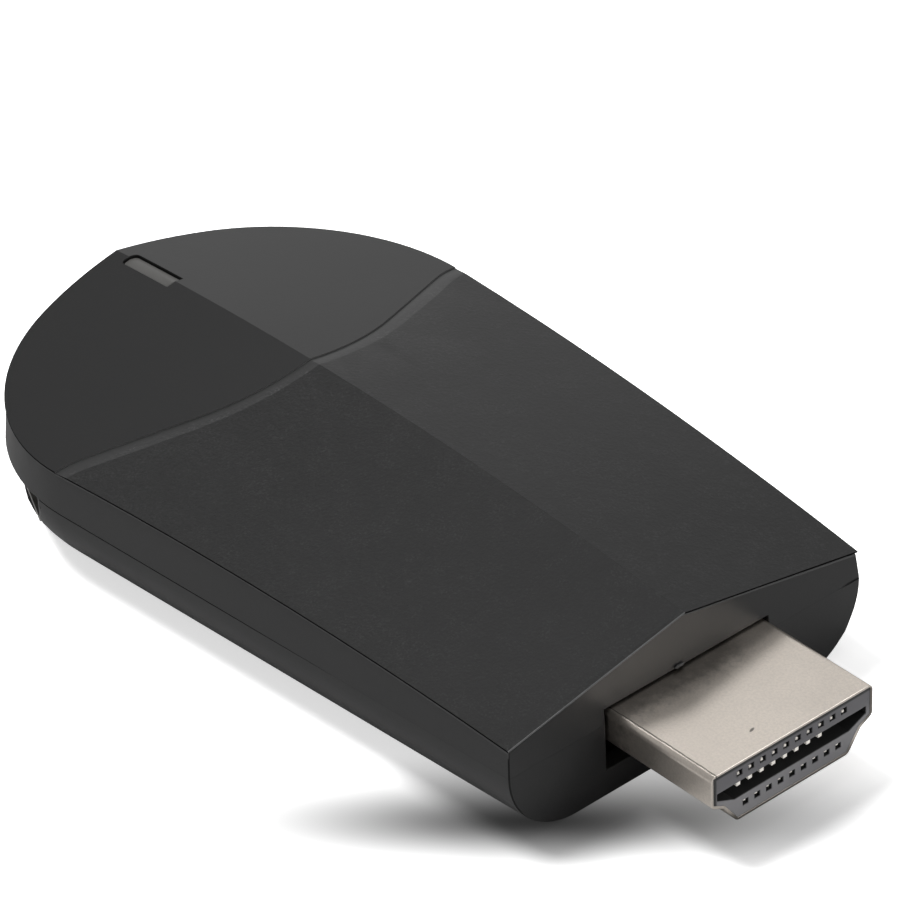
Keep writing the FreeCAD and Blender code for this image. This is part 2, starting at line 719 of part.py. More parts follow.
# Top cover: a plate that follows the roof, with a thin rim over the frame, the bowed band and
# the window's slot
def window_bar(name, growth):
    """The indicator window's outline, its rear corners rounded, grown all round."""
    rear = "(Sizes.rear_x + Sizes.window_setback - (%s))" % growth
    corner = "(Sizes.window_corner + (%s))" % growth
    half = "(Sizes.window_width / 2 + (%s))" % growth
    length = "(Sizes.window_length + 2 * (%s) - %s)" % (growth, corner)
    parts = [
        block(name + "_bar", length, "2 * " + half, "Sizes.ridge_height",
              "%s + %s + %s / 2" % (rear, corner, length), "0", "Sizes.seam_height"),
        block(name + "_rear", corner, "2 * (%s - %s)" % (half, corner), "Sizes.ridge_height",
              "%s + %s / 2" % (rear, corner), "0", "Sizes.seam_height"),
    ]
    for side, sign in (("left", "-"), ("right", "")):
        parts.append(rod("%s_corner_%s" % (name, side), corner, "Sizes.ridge_height",
                         "%s + %s" % (rear, corner), "%s(%s - %s)" % (sign, half, corner),
                         "Sizes.seam_height"))
    return fuse(name, parts)


def groove_edge(side):
    """Rear edge of the band in plan, on one side: an arc, a slanting stretch, a flatter end."""
    radius = size("groove_radius")
    end_radius = size("groove_end_radius")
    slant = math.radians(size("groove_slant"))

    def spot(x, y):
        return FreeCAD.Vector(x, side * y, 0)

    def on_arc(angle):
        return spot(radius * (math.cos(angle) - 1), radius * math.sin(angle))

    leave = on_arc(slant)
    bend_x = leave.x - (size("groove_bend") - radius * math.sin(slant)) * math.tan(slant)
    bend_y = size("groove_bend")
    centre_x = bend_x + end_radius * math.cos(slant)
    centre_y = bend_y + end_radius * math.sin(slant)

    def on_end(angle):
        return spot(centre_x - end_radius * math.cos(angle), centre_y - end_radius * math.sin(angle))

    edges = [
        Part.Arc(on_arc(0), on_arc(slant / 2), leave).toShape(),
        Part.LineSegment(leave, on_end(slant)).toShape(),
        Part.Arc(on_end(slant), on_end(slant / 2), on_end(0)).toShape(),
    ]
    return Part.Wire(edges), on_end(0).x


def groove_half(name, side):
    """Half of the band's cutter: a three-cornered bar along its edge, sheared to one facet."""
    depth = size("groove_depth")
    width = size("groove_width")
    start = size("groove_setback")
    arch = size("arch_radius")

    def sink(setback):
        """How far the ridge lies below the crest at a distance from the front wall."""
        return arch - math.sqrt(arch ** 2 - (setback - size("crest_setback")) ** 2)

    path, end = groove_edge(side)
    corners = [(0, -depth), (2 * width, depth), (0, depth)]
    points = [FreeCAD.Vector(x, 0, z) for x, z in corners]
    bar = path.makePipeShell([Part.makePolygon(points + points[:1])], True, False)
    shear = FreeCAD.Matrix()
    shear.A31 = (sink(start) - sink(start - end)) / end
    shear.A32 = -side * math.tan(math.radians(size("roof_slope")))
    feature = doc.addObject("Part::Feature", name)
    feature.Shape = bar.transformGeometry(shear)
    height = size("ridge_height") - sink(start)
    feature.Placement = FreeCAD.Placement(FreeCAD.Vector(front_x - start, 0, height), FreeCAD.Rotation())
    return feature


cover_plate = cut(
    "cover_plate",
    common("cover_block", [
        prism("cover_prism", "Sizes.cover_lip + Sizes.cover_gap", "Sizes.seam_height",
              "Sizes.ridge_height", "-Sizes.wall_draft"),
        roof]),
    [roof_of_seat])
cover_rim = cut(
    "cover_rim",
    common("rim_block", [
        prism("rim_prism", "0", "Sizes.seam_height", "Sizes.ridge_height", "-Sizes.wall_draft"),
        roof]),
    [roof_of_edge])
pieces["top_cover"] = cut("top_cover", fuse("cover_body", [cover_plate, cover_rim]), [
    groove_half("groove_right", 1), groove_half("groove_left", -1),
    window_bar("window_slot", "Sizes.window_gap")])

# Light pipe: the window, a flange under the cover and a stem down to the lamp
LAMP_X = "Sizes.rear_x + Sizes.window_setback + Sizes.window_length / 2"
pipe_head = common("pipe_head", [window_bar("window_pane", "0"), roof_of_pipe])
pipe_flange = common("pipe_flange", [
    block("flange_block", "Sizes.window_length + Sizes.window_flange",
          "Sizes.window_width + 2 * Sizes.window_flange", "Sizes.ridge_height",
          LAMP_X + " + Sizes.window_flange / 2", "0", "Sizes.seam_height"),
    roof_of_seat])
STEM_FOOT = "Sizes.board_top + Sizes.lamp_height + Sizes.lamp_gap"
pipe_stem = common("pipe_stem", [
    block("stem_block", "Sizes.pipe_stem_length", "Sizes.pipe_stem_width", "Sizes.ridge_height",
          LAMP_X, "0", STEM_FOOT),
    roof_of_seat])
pipe_top = cut("pipe_top", fuse("pipe_plate", [pipe_head, pipe_flange]), [roof_of_flange])
pieces["light_pipe"] = fuse("light_pipe", [pipe_top, pipe_stem])


# Circuit board with its notches and screw holes, and the screws
board_blank = prism("board_blank", "Sizes.wall + Sizes.board_edge_gap", "Sizes.board_bottom",
                    "Sizes.board_thickness")
BOARD_FRONT = "(Sizes.plug_inner_reach + Sizes.board_front_gap)"
board_cuts = [
    block("board_front", BOARD_FRONT, "2 * Sizes.casing_length", "Sizes.seam_height",
          "Sizes.front_x - %s / 2" % BOARD_FRONT, "0", "0"),
    port_box("board_port_notch", PORT_BLOCK_DEPTH,
             "Sizes.port_block_width + 2 * Sizes.port_board_gap", "Sizes.seam_height",
             PORT_BLOCK_BACK + " - Sizes.port_board_gap", "0"),
    port_box("board_socket_notch", "Sizes.socket_depth + Sizes.port_wall",
             "Sizes.socket_width + 2 * Sizes.socket_gap", "Sizes.seam_height",
             "Sizes.socket_mouth - Sizes.socket_depth - Sizes.socket_gap", "0"),
]
screws = []
for side, sign in (("left", "-"), ("right", "")):
    screw_y = sign + "Sizes.screw_spread"
    board_cuts.append(rod("screw_hole_" + side, "Sizes.screw_radius + Sizes.screw_clearance",
                          "Sizes.seam_height", screw_x, screw_y, "0"))
    screws.append(fuse("board_screw_" + side, [
        rod("screw_shank_" + side, "Sizes.screw_radius", "Sizes.screw_length", screw_x, screw_y,
            "Sizes.board_top - Sizes.screw_length"),
        rod("screw_head_" + side, "Sizes.screw_head_radius", "Sizes.screw_head_height", screw_x,
            screw_y, "Sizes.board_top")]))
pieces["main_board"] = cut("main_board", board_blank, board_cuts)
pieces["board_screws"] = together("board_screws", screws)


# Video plug: a folded shell round an insert with two rows of contacts
PLUG_LENGTH = "(Sizes.plug_inner_reach + Sizes.plug_reach)"
PLUG_BACK = "Sizes.front_x - Sizes.plug_inner_reach"
plug_half = "Sizes.plug_width / 2"
plug_top = "Sizes.plug_axis_height + Sizes.plug_height / 2"
plug_side = [
    (plug_half, plug_top),
    (plug_half, plug_top + " - Sizes.plug_side_height"),
    (plug_half + " - Sizes.plug_shoulder_inset", plug_top + " - Sizes.plug_shoulder_depth"),
    (plug_half + " - Sizes.plug_base_inset", plug_top + " - Sizes.plug_height"),
]
plug_other = [("-(%s)" % across, up) for across, up in reversed(plug_side)]
plug_outer = doc.addObject("PartDesign::Body", "plug_outer")
plug_profile = polygon_sketch(plug_outer, "plug_profile", "YZ_Plane", PLUG_BACK,
                              [plug_side + plug_other])
pad(plug_outer, plug_profile, PLUG_LENGTH)
fillet(plug_outer, "Sizes.plug_edge_radius", lambda edge: edge.BoundBox.XLength > LONG_EDGE)


def plug_core(name, length):
    """The space inside the folded shell, from its inner end forwards."""
    profile = doc.addObject("Part::Offset2D", name + "_profile")
    profile.Source = plug_profile
    profile.setExpression("Value", "-Sizes.plug_metal")
    profile.Join = 2
    core = doc.addObject("Part::Extrusion", name)
    core.Base = profile
    core.DirMode = "Custom"
    core.Dir = FreeCAD.Vector(1, 0, 0)
    core.setExpression("LengthFwd", length)
    core.Solid = True
    doc.recompute()
    return core


shell_parts = [cut("plug_tube", plug_outer, [plug_core("tube_core", PLUG_LENGTH)])]
for side, sign in (("left", "-"), ("right", "")):
    leg_x = PLUG_BACK + " - Sizes.plug_leg_length / 2"
    shell_parts.append(block(
        "plug_leg_" + side, "Sizes.plug_leg_length", "Sizes.plug_metal", "Sizes.plug_leg_height",
        leg_x, "%s(%s - Sizes.plug_metal / 2)" % (sign, plug_half), "Sizes.board_top"))
    foot_y = "%s(%s - Sizes.plug_metal - Sizes.plug_foot_width / 2)" % (sign, plug_half)
    shell_parts.append(block(
        "plug_foot_" + side, "Sizes.plug_leg_length - Sizes.board_front_gap",
        "Sizes.plug_foot_width", "Sizes.plug_metal", leg_x + " - Sizes.board_front_gap / 2",
        foot_y, "Sizes.board_top"))
pieces["video_plug_shell"] = fuse("video_plug_shell", shell_parts)

INSERT_FACE = "Sizes.front_x + Sizes.plug_reach - Sizes.insert_setback"
BEND_X = "%s - Sizes.contact_bend_setback" % INSERT_FACE
SLOT_MIDDLE = "Sizes.plug_axis_height + Sizes.slot_rise"


def contact_row(name, count, board_face, way, beams, drop, tip_setback, tip_height):
    """Contacts whose tails lie on a face of the board, up (way +) or down (way -) from it.

    Each has a tail, a pin that ends in its window and, for the first ones, a beam in the slot.
    """
    body = doc.addObject("PartDesign::Body", name)
    body.AllowCompound = True
    back = PLUG_BACK + " - Sizes.contact_tail"
    far_face = "%s %s Sizes.contact_metal" % (board_face, way)
    pin_middle = "(%s %s (Sizes.pinhole_offset - Sizes.contact_pin_shift))" % (SLOT_MIDDLE, way)
    pin_near = "%s %s (-Sizes.contact_pin / 2)" % (pin_middle, way)
    pin_far = "%s %s Sizes.contact_pin / 2" % (pin_middle, way)
    pin_end = "%s - Sizes.contact_pin_setback" % INSERT_FACE
    link = BEND_X + " - Sizes.contact_pin"
    tip = "%s - %s" % (INSERT_FACE, tip_setback)
    tip_face = "%s - (%s)" % (board_face, drop)
    tail_shape = [(back, board_face), (BEND_X, board_face), (BEND_X, far_face), (back, far_face)]
    pin_shape = [(BEND_X, far_face), (BEND_X, pin_near), (pin_end, pin_near), (pin_end, pin_far),
                 (link, pin_far), (link, far_face)]
    beam_shape = [(BEND_X, board_face), (tip, tip_face),
                  (tip, "%s %s %s" % (tip_face, way, tip_height)), (BEND_X, far_face)]
    shapes = [("tail", tail_shape, "Sizes.contact_width", count),
              ("pin", pin_shape, "Sizes.contact_pin", count),
              ("beam", beam_shape, "Sizes.contact_width", beams)]
    first = "Sizes.contact_pitch * %s" % ((count - 1) / 2)
    for label, shape, width, number in shapes:
        sketch = polygon_sketch(body, "%s_%s" % (name, label), "XZ_Plane", first, [shape])
        feature = pad(body, sketch, width, midplane=True)
        row(body, feature, sketch, "N_Axis", "Sizes.contact_pitch", number)
    return body


UPPER_COUNT = 10
UPPER_BEAMS = 8
LOWER_COUNT = 9
contacts_upper = contact_row(
    "video_plug_contacts_upper", UPPER_COUNT, "Sizes.board_top", "+", UPPER_BEAMS,
    "Sizes.contact_drop", "Sizes.contact_tip_setback", "Sizes.contact_tip_height")
contacts_lower = contact_row(
    "video_plug_contacts_lower", LOWER_COUNT, "Sizes.board_bottom", "-", LOWER_COUNT, "0",
    "Sizes.contact_lower_setback", "Sizes.contact_metal")
pieces["video_plug_contacts_upper"] = contacts_upper
pieces["video_plug_contacts_lower"] = contacts_lower

# The slot that takes the other connector's tongue, and the blind holes above and below it
insert_cuts = doc.addObject("PartDesign::Body", "insert_cuts")
insert_cuts.AllowCompound = True
slot_half = "Sizes.slot_width / 2"
slot_top = SLOT_MIDDLE + " + Sizes.slot_height / 2"
slot_side = [
    (slot_half, slot_top),
    (slot_half, slot_top + " - Sizes.slot_side_height"),
    (slot_half + " - Sizes.slot_base_inset", slot_top + " - Sizes.slot_height"),
]
slot_corners = slot_side + [("-(%s)" % across, up) for across, up in reversed(slot_side)]
slot_sketch = polygon_sketch(insert_cuts, "slot_profile", "YZ_Plane", INSERT_FACE, [slot_corners])
pad(insert_cuts, slot_sketch, "Sizes.slot_depth", reversed_way=True)
for name, count, sign in (("upper", UPPER_COUNT, "+"), ("lower", LOWER_COUNT, "-")):
    start = "(-Sizes.contact_pitch * %s - Sizes.pinhole / 2)" % ((count - 1) / 2)
    end = start + " + Sizes.pinhole"
    middle = "%s %s Sizes.pinhole_offset" % (SLOT_MIDDLE, sign)
    low = middle + " - Sizes.pinhole_height / 2"
    top = middle + " + Sizes.pinhole_height / 2"
    hole_sketch = polygon_sketch(insert_cuts, "pinhole_" + name, "YZ_Plane", INSERT_FACE,
                                 [[(start, low), (end, low), (end, top), (start, top)]])
    hole = pad(insert_cuts, hole_sketch, "Sizes.pinhole_depth", reversed_way=True)
    row(insert_cuts, hole, hole_sketch, "H_Axis", "Sizes.contact_pitch", count)
insert_block = plug_core("insert_block", PLUG_LENGTH + " - Sizes.insert_setback")
pieces["video_plug_insert"] = cut("video_plug_insert", insert_block,
                                  [insert_cuts, contacts_upper, contacts_lower])


# Power socket: a folded shell, an insulating tongue and five contacts under it
SOCKET_BACK = "(Sizes.socket_mouth - Sizes.socket_depth)"
socket_outer = socket_profile("socket_outer", "0", SOCKET_BACK, "Sizes.socket_depth")
socket_inner = socket_profile("socket_inner", "-Sizes.socket_metal", SOCKET_BACK,
                              "Sizes.socket_depth")
socket_parts = [cut("socket_tube", socket_outer, [socket_inner])]
for side, sign in (("left", "-"), ("right", "")):
    wing_y = "%s(Sizes.socket_width / 2 + Sizes.socket_wing_width / 2 - Sizes.socket_gap)" % sign
    wing = block("socket_wing_box_" + side, "Sizes.socket_wing_length",
                 "Sizes.socket_wing_width + 2 * Sizes.socket_gap", "Sizes.socket_metal / 2",
                 SOCKET_BACK + " + Sizes.socket_wing_length", wing_y, "Sizes.board_top")
    socket_parts.append(at_port(together("socket_wing_" + side, [wing])))
socket_wings = cut("socket_wings", fuse("socket_wing_pair", socket_parts[1:]), [socket_inner])
pieces["power_socket_shell"] = fuse("power_socket_shell", [socket_parts[0], socket_wings])

socket_contacts = []
SOCKET_CONTACTS = 5
CONTACT_REACH = "(Sizes.socket_depth + Sizes.socket_contact_tail - 2 * Sizes.socket_tongue_setback)"
for number in range(SOCKET_CONTACTS):
    offset = number - (SOCKET_CONTACTS - 1) / 2
    socket_contacts.append(block(
        "socket_contact_%d" % (number + 1), CONTACT_REACH, "Sizes.socket_contact_width",
        "Sizes.socket_contact_metal",
        "%s - Sizes.socket_contact_tail + %s / 2" % (SOCKET_BACK, CONTACT_REACH),
        "%s * Sizes.socket_contact_pitch" % offset,
        "Sizes.board_bottom - Sizes.socket_contact_metal"))
socket_contact_row = at_port(together("power_socket_contacts", socket_contacts))
pieces["power_socket_contacts"] = socket_contact_row
socket_base = common("socket_base", [socket_inner, port_box(
    "socket_base_block", "Sizes.socket_base_depth", "2 * Sizes.socket_width",
    "Sizes.ridge_height", SOCKET_BACK, "0")])
socket_tongue = port_box(
    "socket_tongue", "Sizes.socket_depth - Sizes.socket_tongue_setback",
    "Sizes.socket_tongue_width", "Sizes.socket_tongue_height", SOCKET_BACK, "Sizes.board_bottom")
pieces["power_socket_tongue"] = cut(
    "power_socket_tongue", fuse("socket_insulator", [socket_base, socket_tongue]),
    [socket_contact_row])


# Processor, its shield, the pad between them and the heat spreader on top
SHIELD_TOP = "Sizes.board_top + Sizes.shield_height"


def can(name, length, width, height, metal, x, y, z):
    """A sheet-metal cover, open underneath."""
    inside = block(name + "_inside", "(%s) - 2 * (%s)" % (length, metal),
                   "(%s) - 2 * (%s)" % (width, metal), "(%s) - (%s)" % (height, metal), x, y, z)
    return cut(name, block(name + "_block", length, width, height, x, y, z), [inside])


pieces["processor_shield"] = can(
    "processor_shield", "Sizes.shield_length", "Sizes.shield_width", "Sizes.shield_height",
    "Sizes.shield_metal", "Sizes.shield_x", "0", "Sizes.board_top")
pieces["main_processor"] = block(
    "main_processor", "Sizes.processor_size", "Sizes.processor_size", "Sizes.processor_height",
    "Sizes.shield_x", "0", "Sizes.board_top")
pieces["thermal_pad"] = block(
    "thermal_pad", "Sizes.pad_size", "Sizes.pad_size",
    "Sizes.shield_height - Sizes.shield_metal - Sizes.processor_height", "Sizes.shield_x", "0",
    "Sizes.board_top + Sizes.processor_height")
pieces["heat_spreader"] = block(
    "heat_spreader", "Sizes.shield_length - 2 * Sizes.spreader_margin", "Sizes.spreader_width",
    "Sizes.spreader_height",
    "Sizes.shield_x", "0", SHIELD_TOP)
pieces["flash_chip"] = block(
    "flash_chip", "Sizes.flash_length", "Sizes.flash_width", "Sizes.flash_height",
    "Sizes.front_x - Sizes.flash_setback", "0", "Sizes.board_bottom - Sizes.flash_height")

# Radio module: a small board of its own with a shield
RADIO_X = "Sizes.rear_x + Sizes.radio_inset"
pieces["radio_module"] = block(
    "radio_module", "Sizes.radio_length", "Sizes.radio_width", "Sizes.radio_board", RADIO_X,
    "Sizes.radio_side", "Sizes.board_top")
pieces["radio_shield"] = can(
    "radio_shield", "Sizes.radio_length - 2 * Sizes.radio_margin",
    "Sizes.radio_width - 2 * Sizes.radio_margin", "Sizes.radio_shield_height",
    "Sizes.shield_metal", RADIO_X, "Sizes.radio_side", "Sizes.board_top + Sizes.radio_board")

# Indicator lamp and the plain parts on the board
pieces["indicator_lamp"] = block(
    "indicator_lamp", "Sizes.lamp_length", "Sizes.lamp_width", "Sizes.lamp_height", LAMP_X, "0",
    "Sizes.board_top")
for chip in CHIPS:
    cells = ["Sizes.%s_%s" % (chip, word) for word in ("length", "width", "height")]
    pieces[chip] = block(chip, *cells, "Sizes.rear_x + Sizes.%s_inset" % chip,
                         "Sizes.%s_side" % chip, "Sizes.board_top")
for group, (numbers, places) in GROUPS.items():
    cells = ["Sizes.%s_%s" % (group, word) for word in ("length", "width", "height")]
    members = []
    for number, (end, distance, side) in enumerate(places, start=1):
        cell = "%s_from_%s_%d" % (group, end, number)
        members.append(block("%s_%d" % (group, number), *cells, FROM_END[end] % cell,
                             "Sizes.%s_side_%d" % (group, number), "Sizes.board_top"))
    pieces[group] = together(group, members)


# Check every object, then write one file for each piece
doc.recompute()
for obj in doc.Objects:
    if "Invalid" in obj.State or "Error" in obj.State:
        raise RuntimeError("%s could not be built: %s" % (obj.Name, obj.State))
os.makedirs("parts", exist_ok=True)
for name, piece in pieces.items():
    shape = piece.Shape
    if shape.isNull() or not shape.isValid() or not shape.Solids:
        raise RuntimeError("%s has no sound shape" % name)
    piece.Label = name
    shape.exportStep(os.path.join("parts", name + ".step"))
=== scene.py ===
import math

import bmesh
import bpy
from mathutils import Matrix, Vector


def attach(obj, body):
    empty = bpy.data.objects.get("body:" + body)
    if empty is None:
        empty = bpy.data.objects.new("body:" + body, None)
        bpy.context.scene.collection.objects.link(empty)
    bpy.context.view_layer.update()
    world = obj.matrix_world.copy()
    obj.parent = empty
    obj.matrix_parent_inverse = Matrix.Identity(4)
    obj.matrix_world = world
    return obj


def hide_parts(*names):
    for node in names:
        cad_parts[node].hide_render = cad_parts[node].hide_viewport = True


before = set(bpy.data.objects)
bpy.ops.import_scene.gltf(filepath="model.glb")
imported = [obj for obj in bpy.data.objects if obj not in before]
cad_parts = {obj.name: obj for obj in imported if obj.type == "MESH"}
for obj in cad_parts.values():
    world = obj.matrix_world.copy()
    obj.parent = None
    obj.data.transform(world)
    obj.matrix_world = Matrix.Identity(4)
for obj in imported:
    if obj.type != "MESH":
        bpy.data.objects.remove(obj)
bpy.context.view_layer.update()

MM = 0.001
HOUSING = "housing"
BUTTON = "button"

# Sizes and places on the adapter, in millimetres and degrees as in the part's own source
FRONT_X = 23.9
CREST_X = FRONT_X - 32.0
RIDGE_Z = 12.15
ARCH_RADIUS = 300.0
ROOF_SLOPE = 10.4
RIM_DEPTH = 0.22
BAND_X = FRONT_X - 36.3
BAND_SWING = 2.8
BAND_WAVE = 21.0
BAND_BLEND = 1.2
BAND_SHALLOW, BAND_DEEP = 0.03, 0.13
RIM_REACH = 0.14
RIM_SLACK = 0.06
WINDOW_HALF_WIDTH = 1.0
SEAM_Z = 5.6
RIGHT_EDGE_Y = 13.0
CORNER_Y = 14.2
CORNER_BACK = 0.6
EDGE_BACK = 0.4
PLUG_AXIS = 4.32
PLUG_FACE_X = FRONT_X + 9.4
PLUG_HALF_WIDTH = 6.95
PLUG_TOP = 6.545

# Details that are painted or rounded on
SEAM_LINE = 0.055
SEAM_WIDER = 2.6
SEAM_FAINT = 0.3
SEAM_FADE_FROM, SEAM_FADE_TO = -2.0, 13.0
SEAM_RIGHT_FROM, SEAM_RIGHT_TO = 12.6, 14.4
SEAM_ROUND_TO, SEAM_ROUND_FADE = 9.0, 12.0
SEAM_CUTS = [("x", -4.0), ("x", 0.0), ("x", 4.0), ("x", 8.0), ("y", 13.2)]
FOLD_INSET = 0.42
FOLD_CORE, FOLD_LINE = 0.01, 0.10
INSERT_LINE = 0.42
# How far ahead of the front the plug's painted dark reflection of the casing fades
CASING_REFLECTION_FROM, CASING_REFLECTION_TO = 0.2, 2.6
# A small dark mark on the plug's top
DARK_MARK_PLACE = (31.5, -1.8, PLUG_TOP)
DARK_MARK_CORE, DARK_MARK_SIZE = 0.05, 0.11
DARK_MARK_TURN = 20.0
DARK_MARK_STRETCH = 3.0
BURR_PLACE = (23.88, -0.7, 6.83)
BURR_HALF = (0.10, 0.42, 0.13)
BURR_LUMPS = 0.25
SHELL_RADIUS = 0.06
THIN_RADIUS = 0.03
CORNER_RADIUS = 0.08
FRAME_EDGE_RADIUS = 0.14
COVER_EDGE_RADIUS = 0.06
ROUNDED_FROM = 38.0

# How a face lies: level, facing the front or half facing it, or part of an upright wall
LEVEL = 0.9
FORWARD = 0.9
HALF_FORWARD = 0.5
UPRIGHT = 0.3
STEEP = 0.8

# What counts as the same place, in millimetres, and on a plane, in metres
NEARLY = 0.01
WELD = 0.0005
ON_PLANE = 1e-7

# Numbers of the looks on the cover, and of the further looks on the two shells
# Painted light on the band's ramp and step, a painted highlight and painted shade on the rim
COVER_FACE, BAND_RAMP, RIM_SHADED, RIM_LIGHT, BAND_STEP = range(5)
# The further looks on the shells: painted shade on the front corners, a painted highlight on the
# frame's upper edge
CORNER_SHADE_LOOK, FRAME_EDGE_HIGHLIGHT_LOOK = 1, 2

# The floor and the soft shadow painted on it below the front left corner
FLOOR_HALF = 3000.0
FLOOR_GAP = 0.02
FLOOR_PALE = (0.86, 0.86, 0.86, 1.0)
FLOOR_MIRRORED = (0.30, 0.30, 0.30, 1.0)
FLOOR_GLOW = 0.58
# How dark the painted shadow is and how strongly, its centre, turn, length and width
SHADOW_PATCH_DARK = (0.01, 0.01, 0.01, 1.0)
SHADOW_PATCH_STRENGTH = 0.96
SHADOW_PATCH_X, SHADOW_PATCH_Y = 22.6, -12.2
SHADOW_PATCH_TURN = 46.1
SHADOW_PATCH_LENGTH, SHADOW_PATCH_WIDTH = 33.0, 7.4
FOOTPRINT_X, FOOTPRINT_HALF_LENGTH, FOOTPRINT_HALF_WIDTH = -3.0, 26.0, 13.0
WORLD_LIGHT = 0.18
WORLD_MIRRORED = 0.30

FLOAT = "NodeSocketFloat"
VECTOR = "NodeSocketVector"

# Colours, as linear levels
WHITE = (1.0, 1.0, 1.0, 1.0)
PLUG_NICKEL = (0.90, 0.82, 0.735, 1.0)
INSERT_LOWER = (0.145, 0.143, 0.151, 1.0)
INSERT_LOWER_LIGHT = (0.185, 0.182, 0.188, 1.0)
# Painted shade on the insert: its darker upper face, and below, the inside of its openings
INSERT_UPPER_SHADE = (0.098, 0.096, 0.103, 1.0)
INSERT_BORDER = (0.02, 0.02, 0.02, 1.0)
INSERT_INSIDE_SHADE = (0.004, 0.004, 0.004, 1.0)
LENS_GREY = (0.048, 0.047, 0.045, 1.0)
MASK_GREEN = (0.012, 0.085, 0.035, 1.0)
MASK_GREEN_LIGHT = (0.016, 0.105, 0.042, 1.0)
TRACK_GREEN = (0.04, 0.19, 0.07, 1.0)
VIA_GOLD = (0.55, 0.42, 0.16, 1.0)


def shade(grey):
    """A neutral colour of one linear level."""
    return (grey, grey, grey * 1.01, 1.0)


def scaled(colour, factor):
    """A colour made lighter or darker."""
    return tuple(min(1.0, channel * factor) for channel in colour[:3]) + (1.0,)


class Nodes:
    """A small helper that adds and joins the nodes of one tree."""

    def __init__(self, tree):
        self.tree = tree

    def add(self, kind, **values):
        """A node with its settings, and with inputs given by name in a dict called inputs."""
        inputs = values.pop("inputs", {})
        node = self.tree.nodes.new(kind)
        for key, value in values.items():
            setattr(node, key, value)
        for key, value in inputs.items():
            self.feed(node.inputs[key], value)
        return node

    def feed(self, socket, value):
        """Join an output to an input, or set the input's value."""
        if isinstance(value, bpy.types.NodeSocket):
            self.tree.links.new(value, socket)
        else:
            socket.default_value = value

    def math(self, operation, *values):
        """The result of one math node."""
        node = self.add("ShaderNodeMath", operation=operation)
        for number, value in enumerate(values):
            self.feed(node.inputs[number], value)
        return node.outputs[0]

    def times(self, first, second):
        """A product."""
        return self.math("MULTIPLY", first, second)

    def greater(self, first, second):
        """The greater of two values."""
        return self.math("MAXIMUM", first, second)

    def ramp(self, value, low, high, start=0.0, end=1.0):
        """A value carried smoothly from one range to another."""
        node = self.add("ShaderNodeMapRange", interpolation_type="SMOOTHSTEP")
        for number, item in enumerate((value, low, high, start, end)):
            self.feed(node.inputs[number], item)
        return node.outputs[0]

    def span(self, value, low, high, start=0.0, end=1.0):
        """A ramp between two places in millimetres."""
        return self.ramp(value, low * MM, high * MM, start, end)

    def mix(self, factor, first, second):
        """A mix of two colours."""
        node = self.add("ShaderNodeMix", data_type="RGBA")
        self.feed(node.inputs[0], factor)
        self.feed(node.inputs[6], first)
        self.feed(node.inputs[7], second)
        return node.outputs[2]

    def mottled(self, mask, colour, dark, light, low=0.3, high=0.7):
        """A colour that a mask carries from a darker to a lighter share of itself."""
        return self.mix(self.ramp(mask, low, high), scaled(colour, dark), scaled(colour, light))

    def place(self):
        """A point's place on the object."""
        return self.add("ShaderNodeTexCoord").outputs["Object"]

    def parts(self, place=None):
        """A place's three parts: along the adapter, across it and up."""
        return self.add("ShaderNodeSeparateXYZ", inputs={"Vector": place or self.place()}).outputs

    def noise(self, place, scale, detail, roughness):
        """Cloudy noise round a half."""
        return self.add("ShaderNodeTexNoise", inputs={
            "Vector": place, "Scale": scale, "Detail": detail, "Roughness": roughness}).outputs[0]

    def bump(self, height, relief, strength):
        """The normal of a surface with a relief in millimetres."""
        return self.add("ShaderNodeBump", inputs={
            "Height": height, "Distance": relief * MM, "Strength": strength}).outputs["Normal"]

    def distance(self, place, centre, turn, scale):
        """How far a point lies from a centre, in turned and stretched units."""
        local = self.add("ShaderNodeMapping", vector_type="TEXTURE", inputs={
            "Vector": place, "Location": [value * MM for value in centre],
            "Rotation": (0.0, 0.0, math.radians(turn)), "Scale": scale})
        return self.add("ShaderNodeVectorMath", operation="LENGTH", inputs={
            "Vector": local.outputs[0]}).outputs["Value"]

    def group(self, tree, **inputs):
        """The outputs of a shader group, whose inputs are named with underscores for spaces."""
        return self.add("ShaderNodeGroup", node_tree=tree, inputs={
            name.replace("_", " "): value for name, value in inputs.items()}).outputs


def new_group(name, inputs, outputs):
    """An empty shader group: its helper, what it is given and what it hands out."""
    tree = bpy.data.node_groups.new(name, "ShaderNodeTree")
    for label, kind, value in inputs:
        socket = tree.interface.new_socket(label, in_out="INPUT", socket_type=kind)
        socket.default_value = value
    for label, kind in outputs:
        tree.interface.new_socket(label, in_out="OUTPUT", socket_type=kind)
    nodes = Nodes(tree)
    return nodes, nodes.add("NodeGroupInput").outputs, nodes.add("NodeGroupOutput").inputs


def moulded_grain_group():
    """Spark-eroded mould texture: pits for the bump, clustered bright flecks, slow mottling."""
    nodes, given, result = new_group(
        "moulded_grain",
        [("Pit Size", FLOAT, 0.25), ("Depth", FLOAT, 0.3), ("Fleck Light", FLOAT, 0.1)],
        [("Fleck", FLOAT), ("Mottle", FLOAT), ("Normal", VECTOR)])
    place = nodes.place()
    per_metre = nodes.math("DIVIDE", 1 / MM, given["Pit Size"])
    pits = nodes.noise(place, per_metre, 2.0, 0.6)
    coarse = nodes.noise(place, nodes.times(per_metre, 0.37), 2.0, 0.5)
    height = nodes.math("ADD", nodes.times(pits, 0.65), nodes.times(coarse, 0.35))
    fine = nodes.noise(place, nodes.times(per_metre, 1.9), 1.0, 0.5)
    clusters = nodes.noise(place, nodes.times(per_metre, 0.16), 2.0, 0.6)
    fleck = nodes.times(nodes.ramp(fine, 0.5, 0.7), nodes.ramp(clusters, 0.42, 0.62, 0.25, 1.0))
    nodes.feed(result["Fleck"], nodes.times(fleck, given["Fleck Light"]))
    nodes.feed(result["Mottle"], nodes.noise(place, 90.0, 3.0, 0.55))
    nodes.feed(result["Normal"], nodes.bump(height, 0.04, given["Depth"]))
    return nodes.tree


